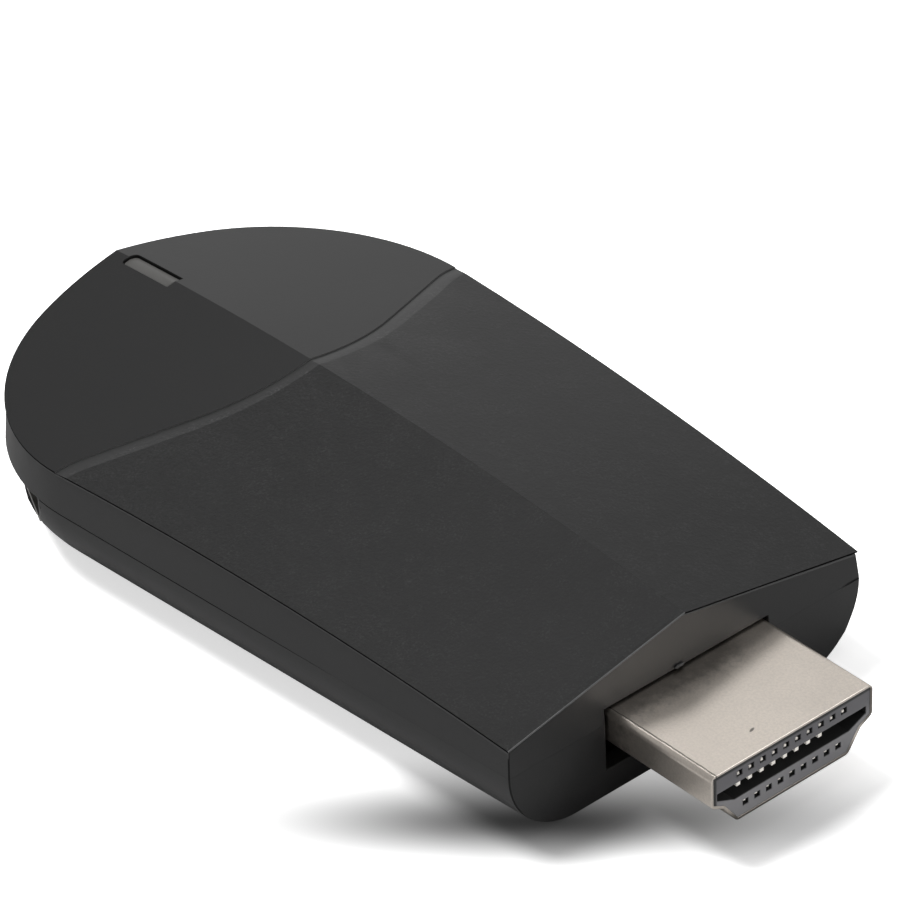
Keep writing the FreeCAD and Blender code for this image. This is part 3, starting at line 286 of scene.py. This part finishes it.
def behind_band_group():
    """1 on the smoother rear part of the top, behind the bowed band, 0 in front of it."""
    nodes, _, result = new_group("behind_band", [], [("Mask", FLOAT)])
    parts = nodes.parts()
    phase = nodes.times(parts[1], math.pi / (BAND_WAVE * MM))
    bow = nodes.math("SUBTRACT", 1.0, nodes.math("COSINE", phase))
    line = nodes.math("SUBTRACT", BAND_X * MM, nodes.times(bow, BAND_SWING * MM))
    ahead = nodes.math("SUBTRACT", parts[0], line)
    nodes.feed(result["Mask"], nodes.span(ahead, 0.0, BAND_BLEND, 1.0, 0.0))
    return nodes.tree


def plate_wear_group():
    """Thin plating: cloudy tone, fine rolling streaks and a few dull specks."""
    nodes, given, result = new_group(
        "plate_wear", [("Streak", FLOAT, 0.3), ("Speck Share", FLOAT, 0.04)],
        [("Cloud", FLOAT), ("Speck", FLOAT), ("Normal", VECTOR)])
    place = nodes.place()
    along_sheet = nodes.add("ShaderNodeMapping", inputs={
        "Vector": place, "Scale": (1.0, 9.0, 9.0)}).outputs[0]
    streaks = nodes.noise(along_sheet, 900.0, 3.0, 0.6)
    grit = nodes.noise(place, 7000.0, 2.0, 0.6)
    height = nodes.math("ADD", nodes.times(streaks, given["Streak"]), nodes.times(grit, 0.12))
    cells = nodes.add("ShaderNodeTexVoronoi", inputs={"Vector": place, "Scale": 3400.0}).outputs
    draw = nodes.add("ShaderNodeSeparateColor", inputs={"Color": cells["Color"]}).outputs[1]
    chance = nodes.math("LESS_THAN", draw, given["Speck Share"])
    spot = nodes.math("LESS_THAN", cells["Distance"], 0.3)
    nodes.feed(result["Cloud"], nodes.noise(place, 260.0, 3.0, 0.5))
    nodes.feed(result["Speck"], nodes.times(chance, spot))
    nodes.feed(result["Normal"], nodes.bump(height, 0.02, 0.12))
    return nodes.tree


GRAIN = moulded_grain_group()
BEHIND_BAND = behind_band_group()
PLATING = plate_wear_group()


def new_material(name):
    """A material with a Principled surface, its helper and the shader's inputs."""
    material = bpy.data.materials.new(name)
    material.use_nodes = True
    nodes = Nodes(material.node_tree)
    shader = next(n for n in material.node_tree.nodes if n.type == "BSDF_PRINCIPLED")
    return material, nodes, shader.inputs


def dress(nodes, surface, colour, roughness, normal, specular=0.5, metallic=0.0):
    """Join the patterns to the shader, and set on it what is the same all over."""
    nodes.feed(surface["Base Color"], colour)
    nodes.feed(surface["Roughness"], roughness)
    nodes.feed(surface["Normal"], normal)
    surface["Specular IOR Level"].default_value = specular
    surface["Metallic"].default_value = metallic


def seam_line(nodes):
    """The seam's dark line: fainter towards the front, but wide at the front right corner."""
    parts = nodes.parts()
    away = nodes.math("ABSOLUTE", nodes.math("SUBTRACT", parts[2], SEAM_Z * MM))
    rightmost = nodes.span(parts[1], SEAM_RIGHT_FROM, SEAM_RIGHT_TO)
    ahead = nodes.span(parts[0], FRONT_X - 1.5, FRONT_X - 0.6)
    width = nodes.ramp(nodes.times(rightmost, ahead), 0.0, 1.0, SEAM_LINE * MM,
                       SEAM_WIDER * SEAM_LINE * MM)
    line = nodes.ramp(away, nodes.times(width, 0.4), width, 1.0, 0.0)
    behind = nodes.span(parts[0], SEAM_FADE_FROM, SEAM_FADE_TO, 1.0, SEAM_FAINT)
    return nodes.times(line, nodes.greater(behind, rightmost))


def moulded_plastic(name, colour, roughness, pit_size=0.22, depth=0.35, flecks=0.05,
                    fleck_light=2.6, specular=0.5, seam=False):
    """Matt moulded plastic with a spark texture, and dark along the seam where it has one."""
    material, nodes, surface = new_material(name)
    grain = nodes.group(GRAIN, Pit_Size=pit_size, Depth=depth, Fleck_Light=flecks)
    tone = nodes.mottled(grain["Mottle"], colour, 0.93, 1.07)
    tone = nodes.mix(grain["Fleck"], tone, scaled(colour, fleck_light))
    rough = nodes.ramp(grain["Mottle"], 0.2, 0.8, roughness - 0.04, roughness + 0.04)
    if seam:
        line = seam_line(nodes)
        tone = nodes.mix(line, tone, scaled(colour, 0.1))
        rough = nodes.greater(rough, line)
    dress(nodes, surface, tone, rough, grain["Normal"], specular=specular)
    return material


def top_plastic(name, level):
    """The cover's plastic: spark texture in front of the bowed band, smoother behind it."""
    material, nodes, surface = new_material(name)
    colour = shade(level)
    mask = nodes.group(BEHIND_BAND)["Mask"]
    spark = nodes.span(nodes.parts()[1], -1.0, 1.0, 1.2, 0.6)
    grain = nodes.group(GRAIN, Pit_Size=0.30, Depth=nodes.ramp(mask, 0.0, 1.0, spark, 0.12),
                        Fleck_Light=nodes.ramp(mask, 0.0, 1.0, 0.9, 0.08))
    light = nodes.mix(mask, scaled(colour, 1.16), scaled(colour, 1.05))
    tone = nodes.mix(nodes.ramp(grain["Mottle"], 0.3, 0.7), colour, light)
    tone = nodes.mix(grain["Fleck"], tone, scaled(colour, 2.6))
    rough = nodes.ramp(mask, 0.0, 1.0, 0.50, 0.44)
    dress(nodes, surface, tone, rough, grain["Normal"], specular=0.4)
    return material


def plated_metal(name, colour, roughness, streak=0.4, specks=0.008, metallic=1.0):
    """Plated sheet metal."""
    material, nodes, surface = new_material(name)
    plate = nodes.group(PLATING, Streak=streak, Speck_Share=specks)
    tone = nodes.mottled(plate["Cloud"], colour, 0.96, 1.04)
    tone = nodes.mix(nodes.times(plate["Speck"], 0.6), tone, scaled(colour, 0.45))
    rough = nodes.ramp(plate["Cloud"], 0.25, 0.75, roughness - 0.03, roughness + 0.03)
    dress(nodes, surface, tone, rough, plate["Normal"], metallic=metallic)
    return material


def plug_plating():
    """The plug's nickel: granular, fold line by its left edge, dark mark, painted shade at ends.
    """
    colour = PLUG_NICKEL
    material, nodes, surface = new_material("plug_nickel")
    plate = nodes.group(PLATING, Streak=0.4, Speck_Share=0.001)
    place = nodes.place()
    parts = nodes.parts(place)
    ragged = nodes.math("SUBTRACT", nodes.noise(place, 1500.0, 3.0, 0.6), 0.5)
    wander = nodes.times(ragged, 0.16 * MM)

    # The line along the fold, on the top only
    upper = nodes.span(parts[2], PLUG_TOP - 0.35, PLUG_TOP - 0.2)
    from_fold = nodes.math("ADD", parts[1], (PLUG_HALF_WIDTH - FOLD_INSET) * MM)
    beside = nodes.math("ABSOLUTE", nodes.math("ADD", wander, from_fold))
    fold = nodes.times(upper, nodes.span(beside, FOLD_CORE, FOLD_LINE, 0.85, 0.0))

    # Painted dark reflection of the casing near it, less on the right, and a dark mark by the
    # mouth
    ahead = nodes.math("ADD", parts[0], nodes.times(ragged, 3.0 * MM))
    painted_reflection = nodes.times(nodes.span(ahead, FRONT_X + CASING_REFLECTION_FROM, FRONT_X + CASING_REFLECTION_TO, 0.5, 0.0),
                        nodes.span(parts[1], 2.5, 5.5, 1.0, 0.3))
    near = nodes.distance(place, DARK_MARK_PLACE, DARK_MARK_TURN, (1.0, DARK_MARK_STRETCH, 1.0))
    dark_mark = nodes.span(nodes.math("ADD", near, wander), DARK_MARK_CORE, DARK_MARK_SIZE, 0.8, 0.0)

    # The mouth's lower and right rim, which turns away from the light
    mouth = nodes.span(parts[0], PLUG_FACE_X - 0.3, PLUG_FACE_X - 0.15)
    below = nodes.span(parts[2], PLUG_AXIS - 1.9, PLUG_AXIS - 1.0, 0.75, 0.0)
    beyond = nodes.times(
        nodes.span(parts[1], PLUG_HALF_WIDTH - 1.6, PLUG_HALF_WIDTH - 0.3, 0.0, 0.75),
        nodes.span(parts[2], PLUG_TOP - 0.35, PLUG_TOP - 0.15, 1.0, 0.0))
    outline = nodes.times(mouth, nodes.greater(below, beyond))

    grains = nodes.noise(place, 5200.0, 2.0, 0.7)
    tone = nodes.mottled(plate["Cloud"], colour, 0.96, 1.04)
    tone = nodes.mix(nodes.ramp(grains, 0.25, 0.75, 0.22, 0.0), tone, scaled(colour, 0.45))
    # The fold line, the dark mark, the painted reflection and the rim's painted shade darken it
    dark = nodes.greater(nodes.greater(fold, dark_mark), nodes.greater(painted_reflection, outline))
    tone = nodes.mix(dark, tone, scaled(colour, 0.08))
    rough = nodes.ramp(plate["Cloud"], 0.25, 0.75, 0.29, 0.34)
    dress(nodes, surface, tone, rough, plate["Normal"], metallic=1.0)
    return material


def plug_insert():
    """The plug's insert: grey on its lit face, in painted shade black inside its openings."""
    material, nodes, surface = new_material("insert_plastic")
    parts = nodes.parts()
    grain = nodes.group(GRAIN, Pit_Size=0.3, Depth=0.12, Fleck_Light=0.0)
    lower = nodes.mix(nodes.ramp(grain["Mottle"], 0.3, 0.7), INSERT_LOWER, INSERT_LOWER_LIGHT)
    # Painted shade: the upper part of the face is darker
    above = nodes.span(parts[2], PLUG_AXIS - 0.6, PLUG_AXIS + 1.2)
    grey = nodes.mix(above, lower, INSERT_UPPER_SHADE)
    top_line = nodes.span(parts[2], PLUG_TOP - 0.48, PLUG_TOP - 0.40)
    left_line = nodes.span(parts[1], INSERT_LINE - PLUG_HALF_WIDTH,
                           INSERT_LINE + 0.1 - PLUG_HALF_WIDTH, 1.0, 0.0)
    grey = nodes.mix(nodes.greater(top_line, left_line), grey, INSERT_BORDER)
    # Painted shade: black inside the openings, behind the face
    face = nodes.span(parts[0], PLUG_FACE_X - 0.16, PLUG_FACE_X - 0.04)
    tone = nodes.mix(face, INSERT_INSIDE_SHADE, grey)
    dress(nodes, surface, tone, nodes.ramp(face, 0.0, 1.0, 0.8, 0.42), grain["Normal"])
    return material


def frosted_lens():
    """The window's grey diffusing plastic."""
    material, nodes, surface = new_material("frosted_lens")
    grain = nodes.group(GRAIN, Pit_Size=0.3, Depth=0.15, Fleck_Light=0.0)
    tone = nodes.mottled(grain["Mottle"], LENS_GREY, 0.85, 1.1, 0.35, 0.65)
    rough = nodes.ramp(grain["Mottle"], 0.2, 0.8, 0.38, 0.46)
    dress(nodes, surface, tone, rough, grain["Normal"], specular=0.4)
    return material


def circuit_board():
    """Green solder mask with lighter copper tracks under it."""
    material, nodes, surface = new_material("circuit_board")
    place = nodes.place()
    tracks = nodes.add("ShaderNodeTexBrick", offset=0.35, squash=0.6, inputs={
        "Vector": place, "Scale": 420.0, "Mortar Size": 0.06, "Color1": MASK_GREEN,
        "Color2": MASK_GREEN_LIGHT, "Mortar": TRACK_GREEN}).outputs
    cells = nodes.add("ShaderNodeTexVoronoi", inputs={"Vector": place, "Scale": 700.0}).outputs
    vias = nodes.math("LESS_THAN", cells["Distance"], 0.12)
    tone = nodes.mix(vias, tracks["Color"], VIA_GOLD)
    rough = nodes.ramp(tracks["Fac"], 0.0, 1.0, 0.34, 0.42)
    dress(nodes, surface, tone, rough, nodes.bump(tracks["Fac"], 0.03, 0.3))
    return material


PLASTIC = {
    "shell": moulded_plastic("shell_plastic", shade(0.0135), 0.47, depth=0.12, flecks=0.12,
                             seam=True),
    # Painted shade: a darker, duller copy of the shell plastic on the rounded upright front
    # corners
    "corner": moulded_plastic("corner_painted_shade", shade(0.006), 0.7, depth=0.1, flecks=0.1,
                              specular=0.2),
    # Painted highlight: a lighter copy of the plastic on the cover's front left rim and upper edge
    "edge": moulded_plastic("rim_painted_highlight", shade(0.075), 0.5, depth=0.1, flecks=0.5,
                            fleck_light=1.8),
    # Painted highlight: a lighter copy of the plastic on the frame's rounded upper edge and on the
    # burr
    "frame_edge_painted_highlight": moulded_plastic("frame_edge_painted_highlight", shade(0.05), 0.5, depth=0.1, flecks=0.2,
                                  fleck_light=1.5),
    # Painted light: a lighter copy of the plastic on the band's forward-facing step
    "step": moulded_plastic("band_step_painted_light", shade(0.045), 0.6, depth=0.1, flecks=0.2),
    "shadow": moulded_plastic("shaded_edge", shade(0.002), 0.8, depth=0.1, flecks=0.0,
                              specular=0.05),
    "button": moulded_plastic("button_plastic", shade(0.012), 0.42, depth=0.1, flecks=0.0),
    "black": moulded_plastic("black_insulator", shade(0.015), 0.4, depth=0.15, flecks=0.0),
    "epoxy": moulded_plastic("chip_epoxy", shade(0.022), 0.55, pit_size=0.12, depth=0.3,
                             flecks=0.03),
    "pad": moulded_plastic("thermal_pad", (0.32, 0.4, 0.5, 1.0), 0.75, pit_size=0.4, depth=0.5,
                           flecks=0.3, fleck_light=1.3),
    "lamp": moulded_plastic("lamp_body", (0.75, 0.72, 0.52, 1.0), 0.35, depth=0.1, flecks=0.0),
    "ceramic": moulded_plastic("fired_ceramic", (0.46, 0.36, 0.25, 1.0), 0.5, pit_size=0.1,
                               depth=0.3, flecks=0.06, fleck_light=1.5),
}
METAL = {
    "plug": plug_plating(),
    "socket": plated_metal("socket_nickel", (0.40, 0.39, 0.375, 1.0), 0.36),
    "contact": plated_metal("contact_plating", (0.95, 0.91, 0.84, 1.0), 0.45, streak=0.2,
                            specks=0.0, metallic=0.35),
    "shield": plated_metal("shield_tin", (0.62, 0.62, 0.6, 1.0), 0.36),
    "aluminium": plated_metal("spreader_aluminium", (0.7, 0.7, 0.71, 1.0), 0.42, streak=1.0),
}
COVER = top_plastic("cover_plastic", 0.006)
# Painted light: the band's ramp wears a lighter copy of the cover's plastic
BAND_PAINTED_LIGHT = top_plastic("band_painted_light", 0.016)
LENS = frosted_lens()
INSERT = plug_insert()
BOARD = circuit_board()

# What each node that keeps its own mesh wears
FINISH = {
    "main_board": BOARD,
    "radio_module": BOARD,
    "board_screws": METAL["shield"],
    "power_socket_contacts": METAL["contact"],
    "switch_plunger": PLASTIC["black"],
    "switch_body": PLASTIC["black"],
    "main_processor": PLASTIC["epoxy"],
    "thermal_pad": PLASTIC["pad"],
    "processor_shield": METAL["shield"],
    "heat_spreader": METAL["aluminium"],
    "memory_chip": PLASTIC["epoxy"],
    "flash_chip": PLASTIC["epoxy"],
    "radio_shield": METAL["shield"],
    "regulator_chip": PLASTIC["epoxy"],
    "power_inductors": PLASTIC["epoxy"],
    "bulk_capacitor": PLASTIC["ceramic"],
    "crystal": METAL["shield"],
    "indicator_lamp": PLASTIC["lamp"],
    "chip_antennas": PLASTIC["ceramic"],
    "chip_capacitors": PLASTIC["ceramic"],
    "signal_filters": PLASTIC["ceramic"],
}


def wear(obj, material):
    """Give an object one material."""
    obj.data.materials.clear()
    obj.data.materials.append(material)


for node, material in FINISH.items():
    wear(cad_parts[node], material)


def roof_depth(point):
    """How far a point lies below the arched two-facet roof, in millimetres."""
    across = abs(point.y / MM) * math.tan(math.radians(ROOF_SLOPE))
    along = point.x / MM - CREST_X
    roof = RIDGE_Z - ARCH_RADIUS + math.sqrt((ARCH_RADIUS - across) ** 2 - along ** 2)
    return roof - point.z / MM


def cover_zone(face):
    """Which of its looks a face of the cover wears."""
    deepest = max(roof_depth(vert.co) for vert in face.verts)
    # Level faces on the band's ramp wear painted light
    if face.normal.z > LEVEL:
        return BAND_RAMP if BAND_SHALLOW < deepest < BAND_DEEP else COVER_FACE
    middle = face.calc_center_median()
    in_window = abs(middle.y) < WINDOW_HALF_WIDTH * MM and face.normal.x < FORWARD
    if deepest >= RIM_REACH or abs(face.normal.z) >= UPRIGHT or in_window:
        return COVER_FACE
    # The band's step wears painted light; the rim's side a painted highlight at the front left,
    # painted shade elsewhere
    if face.normal.x > HALF_FORWARD and middle.x < 0.0:
        return BAND_STEP
    front_left = face.normal.x > FORWARD and middle.y < -WINDOW_HALF_WIDTH * MM
    return RIM_LIGHT if front_left else RIM_SHADED


def cover_front_edge(line):
    """Whether an edge is the cover's upper edge along the left half of the front."""
    places = [vert.co for vert in line.verts]
    forward = min(place.x for place in places) > (FRONT_X - EDGE_BACK) * MM
    left = max(place.y for place in places) < WINDOW_HALF_WIDTH / 2 * MM
    return forward and left and max(roof_depth(place) for place in places) < NEARLY


def frame_upper_edge(line):
    """Whether an edge is the frame's outer upper edge, apart from the front's left half."""
    places = [vert.co for vert in line.verts]
    walls = [face for face in line.link_faces if abs(face.normal.z) < UPRIGHT]
    if len(line.link_faces) != 2 or len(walls) != 1:
        return False
    middle = (places[0] + places[1]) / 2
    outward = walls[0].normal.x * middle.x + walls[0].normal.y * middle.y > 0.0
    level = all(abs(roof_depth(place) - RIM_DEPTH) < RIM_SLACK for place in places)
    front_left = walls[0].normal.x > FORWARD and middle.y < 0.0
    return outward and level and not front_left


def front_corner(line):
    """Whether an edge is one of the casing's two upright front corners."""
    first, last = (vert.co / MM for vert in line.verts)
    steep = abs(first.z - last.z) > STEEP * (first - last).length
    forward = min(first.x, last.x) > FRONT_X - CORNER_BACK
    return steep and forward and min(abs(first.y), abs(last.y)) > CORNER_Y


def edge_share(line):
    """How much of its radius an edge gets: little along the seam's front part."""
    first, last = (vert.co / MM for vert in line.verts)
    on_seam = max(abs(first.z - SEAM_Z), abs(last.z - SEAM_Z)) < NEARLY
    middle = (first + last) / 2
    if not on_seam or middle.y > RIGHT_EDGE_Y:
        return 1.0
    return max(0.0, min(1.0, (SEAM_ROUND_TO - middle.x) / SEAM_ROUND_FADE))


def merged_shape(mesh, flat, walls, cuts):
    """A mesh without doubles, split by planes, with its flat faces merged."""
    shape = bmesh.new()
    shape.from_mesh(mesh)
    bmesh.ops.remove_doubles(shape, verts=shape.verts, dist=WELD * MM)
    for along, at in cuts:
        normal = Vector((1.0, 0.0, 0.0)) if along == "x" else Vector((0.0, 1.0, 0.0))
        bmesh.ops.bisect_plane(shape, geom=shape.verts[:] + shape.edges[:] + shape.faces[:],
                               dist=ON_PLANE, plane_co=normal * at * MM, plane_no=normal)
    if flat:
        merged = [line for line in shape.edges
                  if walls or all(abs(face.normal.z) > UPRIGHT for face in line.link_faces)]
        bmesh.ops.dissolve_limit(shape, angle_limit=math.radians(flat), verts=[], edges=merged)
    shape.normal_update()
    return shape


def finished(node, looks, edge, sharp=16.0, body=HOUSING, segments=2, flat=0.05, walls=True,
             zones=None, bends=(), cuts=()):
    """Replace a node by a smooth copy whose outer edges are rounded by a small radius.

    walls tells whether the flat faces of upright walls are merged too. zones tells which of the
    looks a face wears. bends holds, for edges that get a radius of their own, a test, the radius
    and the number of the look there. cuts holds the planes that split its edges, so that a
    radius can fade along them.
    """
    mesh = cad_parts[node].data.copy()
    mesh.name = node + "_finished"
    mesh.materials.clear()
    for look in looks:
        mesh.materials.append(look)
    shape = merged_shape(mesh, flat, walls, cuts)
    for face in shape.faces:
        face.smooth = True
        if zones:
            face.material_index = zones(face)
    for picked, radius, look in bends:
        bmesh.ops.bevel(shape, geom=[line for line in shape.edges if picked(line)],
                        offset=radius * MM, offset_type="OFFSET", segments=2, profile=0.5,
                        affect="EDGES", material=look)
        shape.normal_update()
    share = shape.edges.layers.float.new("bevel_weight_edge")
    for line in shape.edges:
        inner = len(line.link_faces) == 2
        if not inner or line.calc_face_angle() > math.radians(sharp):
            line.smooth = False
        if inner and line.calc_face_angle() > math.radians(ROUNDED_FROM):
            line[share] = edge_share(line)
    shape.to_mesh(mesh)
    shape.free()
    obj = bpy.data.objects.new(node + "_finished", mesh)
    bpy.context.scene.collection.objects.link(obj)
    bevel = obj.modifiers.new("edge_radius", "BEVEL")
    bevel.width = edge * MM
    bevel.segments = segments
    bevel.limit_method = "WEIGHT"
    bevel.face_strength_mode = "FSTR_AFFECTED"
    bevel.use_clamp_overlap = False
    weigh = obj.modifiers.new("even_normals", "WEIGHTED_NORMAL")
    weigh.use_face_influence = True
    weigh.keep_sharp = True
    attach(obj, body)
    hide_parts(node)


# Both shells' front corners wear painted shade
finished("lower_shell", [PLASTIC["shell"], PLASTIC["corner"]], SHELL_RADIUS,
         bends=[(front_corner, CORNER_RADIUS, CORNER_SHADE_LOOK)], cuts=SEAM_CUTS)
# The frame's upper edge wears a painted highlight
finished("side_frame", [PLASTIC["shell"], PLASTIC["corner"], PLASTIC["frame_edge_painted_highlight"]], SHELL_RADIUS,
         bends=[(front_corner, CORNER_RADIUS, CORNER_SHADE_LOOK),
                (frame_upper_edge, FRAME_EDGE_RADIUS, FRAME_EDGE_HIGHLIGHT_LOOK)],
         cuts=SEAM_CUTS)
# The cover: painted light on the band, a painted highlight on the front left rim and edge, painted
# shade on the rest of the rim
finished("top_cover", [COVER, BAND_PAINTED_LIGHT, PLASTIC["shadow"], PLASTIC["edge"], PLASTIC["step"]],
         THIN_RADIUS, walls=False, zones=cover_zone,
         bends=[(cover_front_edge, COVER_EDGE_RADIUS, RIM_LIGHT)])
finished("light_pipe", [LENS], 0.04, sharp=30.0)
finished("video_plug_shell", [METAL["plug"]], THIN_RADIUS)
finished("video_plug_insert", [INSERT], 0.015, flat=0.0, segments=1)
finished("video_plug_contacts_upper", [METAL["contact"]], THIN_RADIUS)
finished("video_plug_contacts_lower", [METAL["contact"]], THIN_RADIUS)
finished("power_socket_shell", [METAL["socket"]], THIN_RADIUS)
finished("power_socket_tongue", [PLASTIC["black"]], THIN_RADIUS)
finished("side_button", [PLASTIC["button"]], 0.15, sharp=40.0, body=BUTTON, segments=3)


def moulding_burr():
    """The small burr that the moulding left on the upper edge of the plug's opening."""
    shape = bmesh.new()
    bmesh.ops.create_icosphere(shape, subdivisions=3, radius=1.0)
    for vert in shape.verts:
        lump = 1.0 + BURR_LUMPS * math.sin(5.0 * vert.co.y + 1.0) * math.cos(4.0 * vert.co.z)
        vert.co = Vector([place + part * half * lump
                          for place, part, half in zip(BURR_PLACE, vert.co, BURR_HALF)]) * MM
    for face in shape.faces:
        face.smooth = True
    mesh = bpy.data.meshes.new("moulding_burr")
    shape.to_mesh(mesh)
    shape.free()
    obj = bpy.data.objects.new("moulding_burr", mesh)
    bpy.context.scene.collection.objects.link(obj)
    # The burr wears the frame edge's painted highlight
    wear(obj, PLASTIC["frame_edge_painted_highlight"])
    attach(obj, HOUSING)


moulding_burr()


def floor_surface():
    """The floor's pale matt surface, with a soft painted shadow, clear when seen from below."""
    material, nodes, surface = new_material("floor_white")
    path = nodes.add("ShaderNodeLightPath").outputs
    place = nodes.place()
    parts = nodes.parts(place)
    # A soft shadow painted on the floor below the front left corner, seen by the camera only
    away = nodes.distance(place, (SHADOW_PATCH_X, SHADOW_PATCH_Y, 0.0), SHADOW_PATCH_TURN,
                          (SHADOW_PATCH_LENGTH * MM, SHADOW_PATCH_WIDTH * MM, 1.0))
    painted_shadow = nodes.ramp(away, 0.0, 1.0, SHADOW_PATCH_STRENGTH, 0.0)
    tone = nodes.mix(nodes.times(path["Is Camera Ray"], painted_shadow), FLOOR_PALE, SHADOW_PATCH_DARK)
    tone = nodes.mix(path["Is Glossy Ray"], tone, FLOOR_MIRRORED)
    # The floor's even glow is left out under the painted shadow
    glow = nodes.times(nodes.times(path["Is Camera Ray"], FLOOR_GLOW),
                       nodes.math("SUBTRACT", 1.0, painted_shadow))

    # Under the casing the floor lets the lamp below it through, but the camera doesn't see that
    across = nodes.math("ABSOLUTE", parts[1])
    along = nodes.math("ABSOLUTE", nodes.math("SUBTRACT", parts[0], FOOTPRINT_X * MM))
    footprint = nodes.times(nodes.math("LESS_THAN", across, FOOTPRINT_HALF_WIDTH * MM),
                            nodes.math("LESS_THAN", along, FOOTPRINT_HALF_LENGTH * MM))
    unseen = nodes.math("SUBTRACT", 1.0, path["Is Camera Ray"])
    from_below = nodes.add("ShaderNodeNewGeometry").outputs["Backfacing"]
    clear = nodes.greater(from_below, nodes.times(footprint, unseen))

    nodes.feed(surface["Base Color"], tone)
    nodes.feed(surface["Emission Strength"], glow)
    nodes.feed(surface["Alpha"], nodes.math("SUBTRACT", 1.0, clear))
    surface["Emission Color"].default_value = WHITE
    surface["Roughness"].default_value = 0.9
    surface["Specular IOR Level"].default_value = 0.1
    return material


def pale_floor():
    """The floor, a hair below the casing's base."""
    mesh = bpy.data.meshes.new("floor")
    half = FLOOR_HALF * MM
    low = -FLOOR_GAP * MM
    mesh.from_pydata([(-half, -half, low), (half, -half, low), (half, half, low),
                      (-half, half, low)], [], [(0, 1, 2, 3)])
    obj = bpy.data.objects.new("floor", mesh)
    bpy.context.scene.collection.objects.link(obj)
    wear(obj, floor_surface())


pale_floor()


def soft_lamp(name, direction, distance, size, watts, mirrored=True):
    """A large soft lamp that looks at the adapter from a direction, in metres and watts."""
    light = bpy.data.lights.new(name, "AREA")
    light.shape = "RECTANGLE"
    light.size, light.size_y = size
    light.energy = watts
    obj = bpy.data.objects.new(name, light)
    way = Vector(direction).normalized()
    obj.location = way * distance
    obj.rotation_mode = "QUATERNION"
    obj.rotation_quaternion = way.to_track_quat("Z", "Y")
    obj.visible_glossy = mirrored
    bpy.context.scene.collection.objects.link(obj)


soft_lamp("key", (-0.40, -0.16, 0.90), 0.90, (0.30, 0.30), 11.0, mirrored=False)
soft_lamp("front_softbox", (-0.42, 0.20, 0.88), 0.80, (0.16, 0.16), 0.42)
soft_lamp("rear_softbox", (-0.72, 0.68, 0.24), 0.70, (0.36, 0.22), 0.21)
soft_lamp("plug_softbox", (-0.627, 0.50, 0.60), 0.70, (0.15, 0.15), 0.08)
soft_lamp("top_softbox", (0.10, 0.10, 0.95), 0.80, (0.40, 0.40), 0.5)
soft_lamp("left_fill", (-0.45, -0.85, 0.45), 0.80, (0.50, 0.40), 0.9, mirrored=False)
soft_lamp("front_light", (0.70, 0.49, 0.52), 0.80, (0.30, 0.30), 1.4)
soft_lamp("front_fill", (1.0, -0.35, 0.30), 0.80, (0.40, 0.40), 0.5)
soft_lamp("base_light", (0.2, -0.2, -1.0), 0.80, (0.30, 0.30), 8.0, mirrored=False)


def studio_world():
    """A surround that the camera sees white, mirrors see grey, and that lights the rest dimly."""
    world = bpy.data.worlds.new("studio")
    bpy.context.scene.world = world
    world.use_nodes = True
    nodes = Nodes(world.node_tree)
    background = next(n for n in world.node_tree.nodes if n.type == "BACKGROUND").inputs
    path = nodes.add("ShaderNodeLightPath").outputs
    seen = nodes.greater(path["Is Camera Ray"], nodes.times(path["Is Glossy Ray"], WORLD_MIRRORED))
    background["Color"].default_value = WHITE
    nodes.feed(background["Strength"], nodes.ramp(seen, 0.0, 1.0, WORLD_LIGHT, 1.0))


studio_world()

# The photo's camera, from a fit of the plug, rim, seam and rounded end, in millimetres
AZIMUTH, ELEVATION, ROLL = math.radians(49.911), math.radians(34.968), math.radians(-2.360)
FOCAL_PX, DISTANCE, SHIFT_X, SHIFT_Y = 5831.3, 369.896, 15.178, -18.824
PHOTO_PX, SENSOR = 900.0, 36.0


def photo_camera():
    """The camera that the photo was taken with."""
    back = Vector((math.sin(AZIMUTH) * math.cos(ELEVATION),
                   -math.cos(AZIMUTH) * math.cos(ELEVATION), math.sin(ELEVATION)))
    level = Vector((math.cos(AZIMUTH), math.sin(AZIMUTH), 0.0))
    upward = back.cross(level)
    right = math.cos(ROLL) * level + math.sin(ROLL) * upward
    up = -math.sin(ROLL) * level + math.cos(ROLL) * upward
    place = back * DISTANCE - right * SHIFT_X - up * SHIFT_Y + Vector((FRONT_X, 0.0, 0.0))
    data = bpy.data.cameras.new("photo_camera")
    data.sensor_width = SENSOR
    data.lens = SENSOR * FOCAL_PX / PHOTO_PX
    data.clip_start, data.clip_end = 0.01, 20.0
    camera = bpy.data.objects.new("photo_camera", data)
    turn = Matrix((right, up, back)).transposed().to_4x4()
    camera.matrix_world = Matrix.Translation(place * MM) @ turn
    bpy.context.scene.collection.objects.link(camera)
    return camera


bpy.context.scene.camera = photo_camera()
bpy.context.scene.view_settings.view_transform = "Standard"
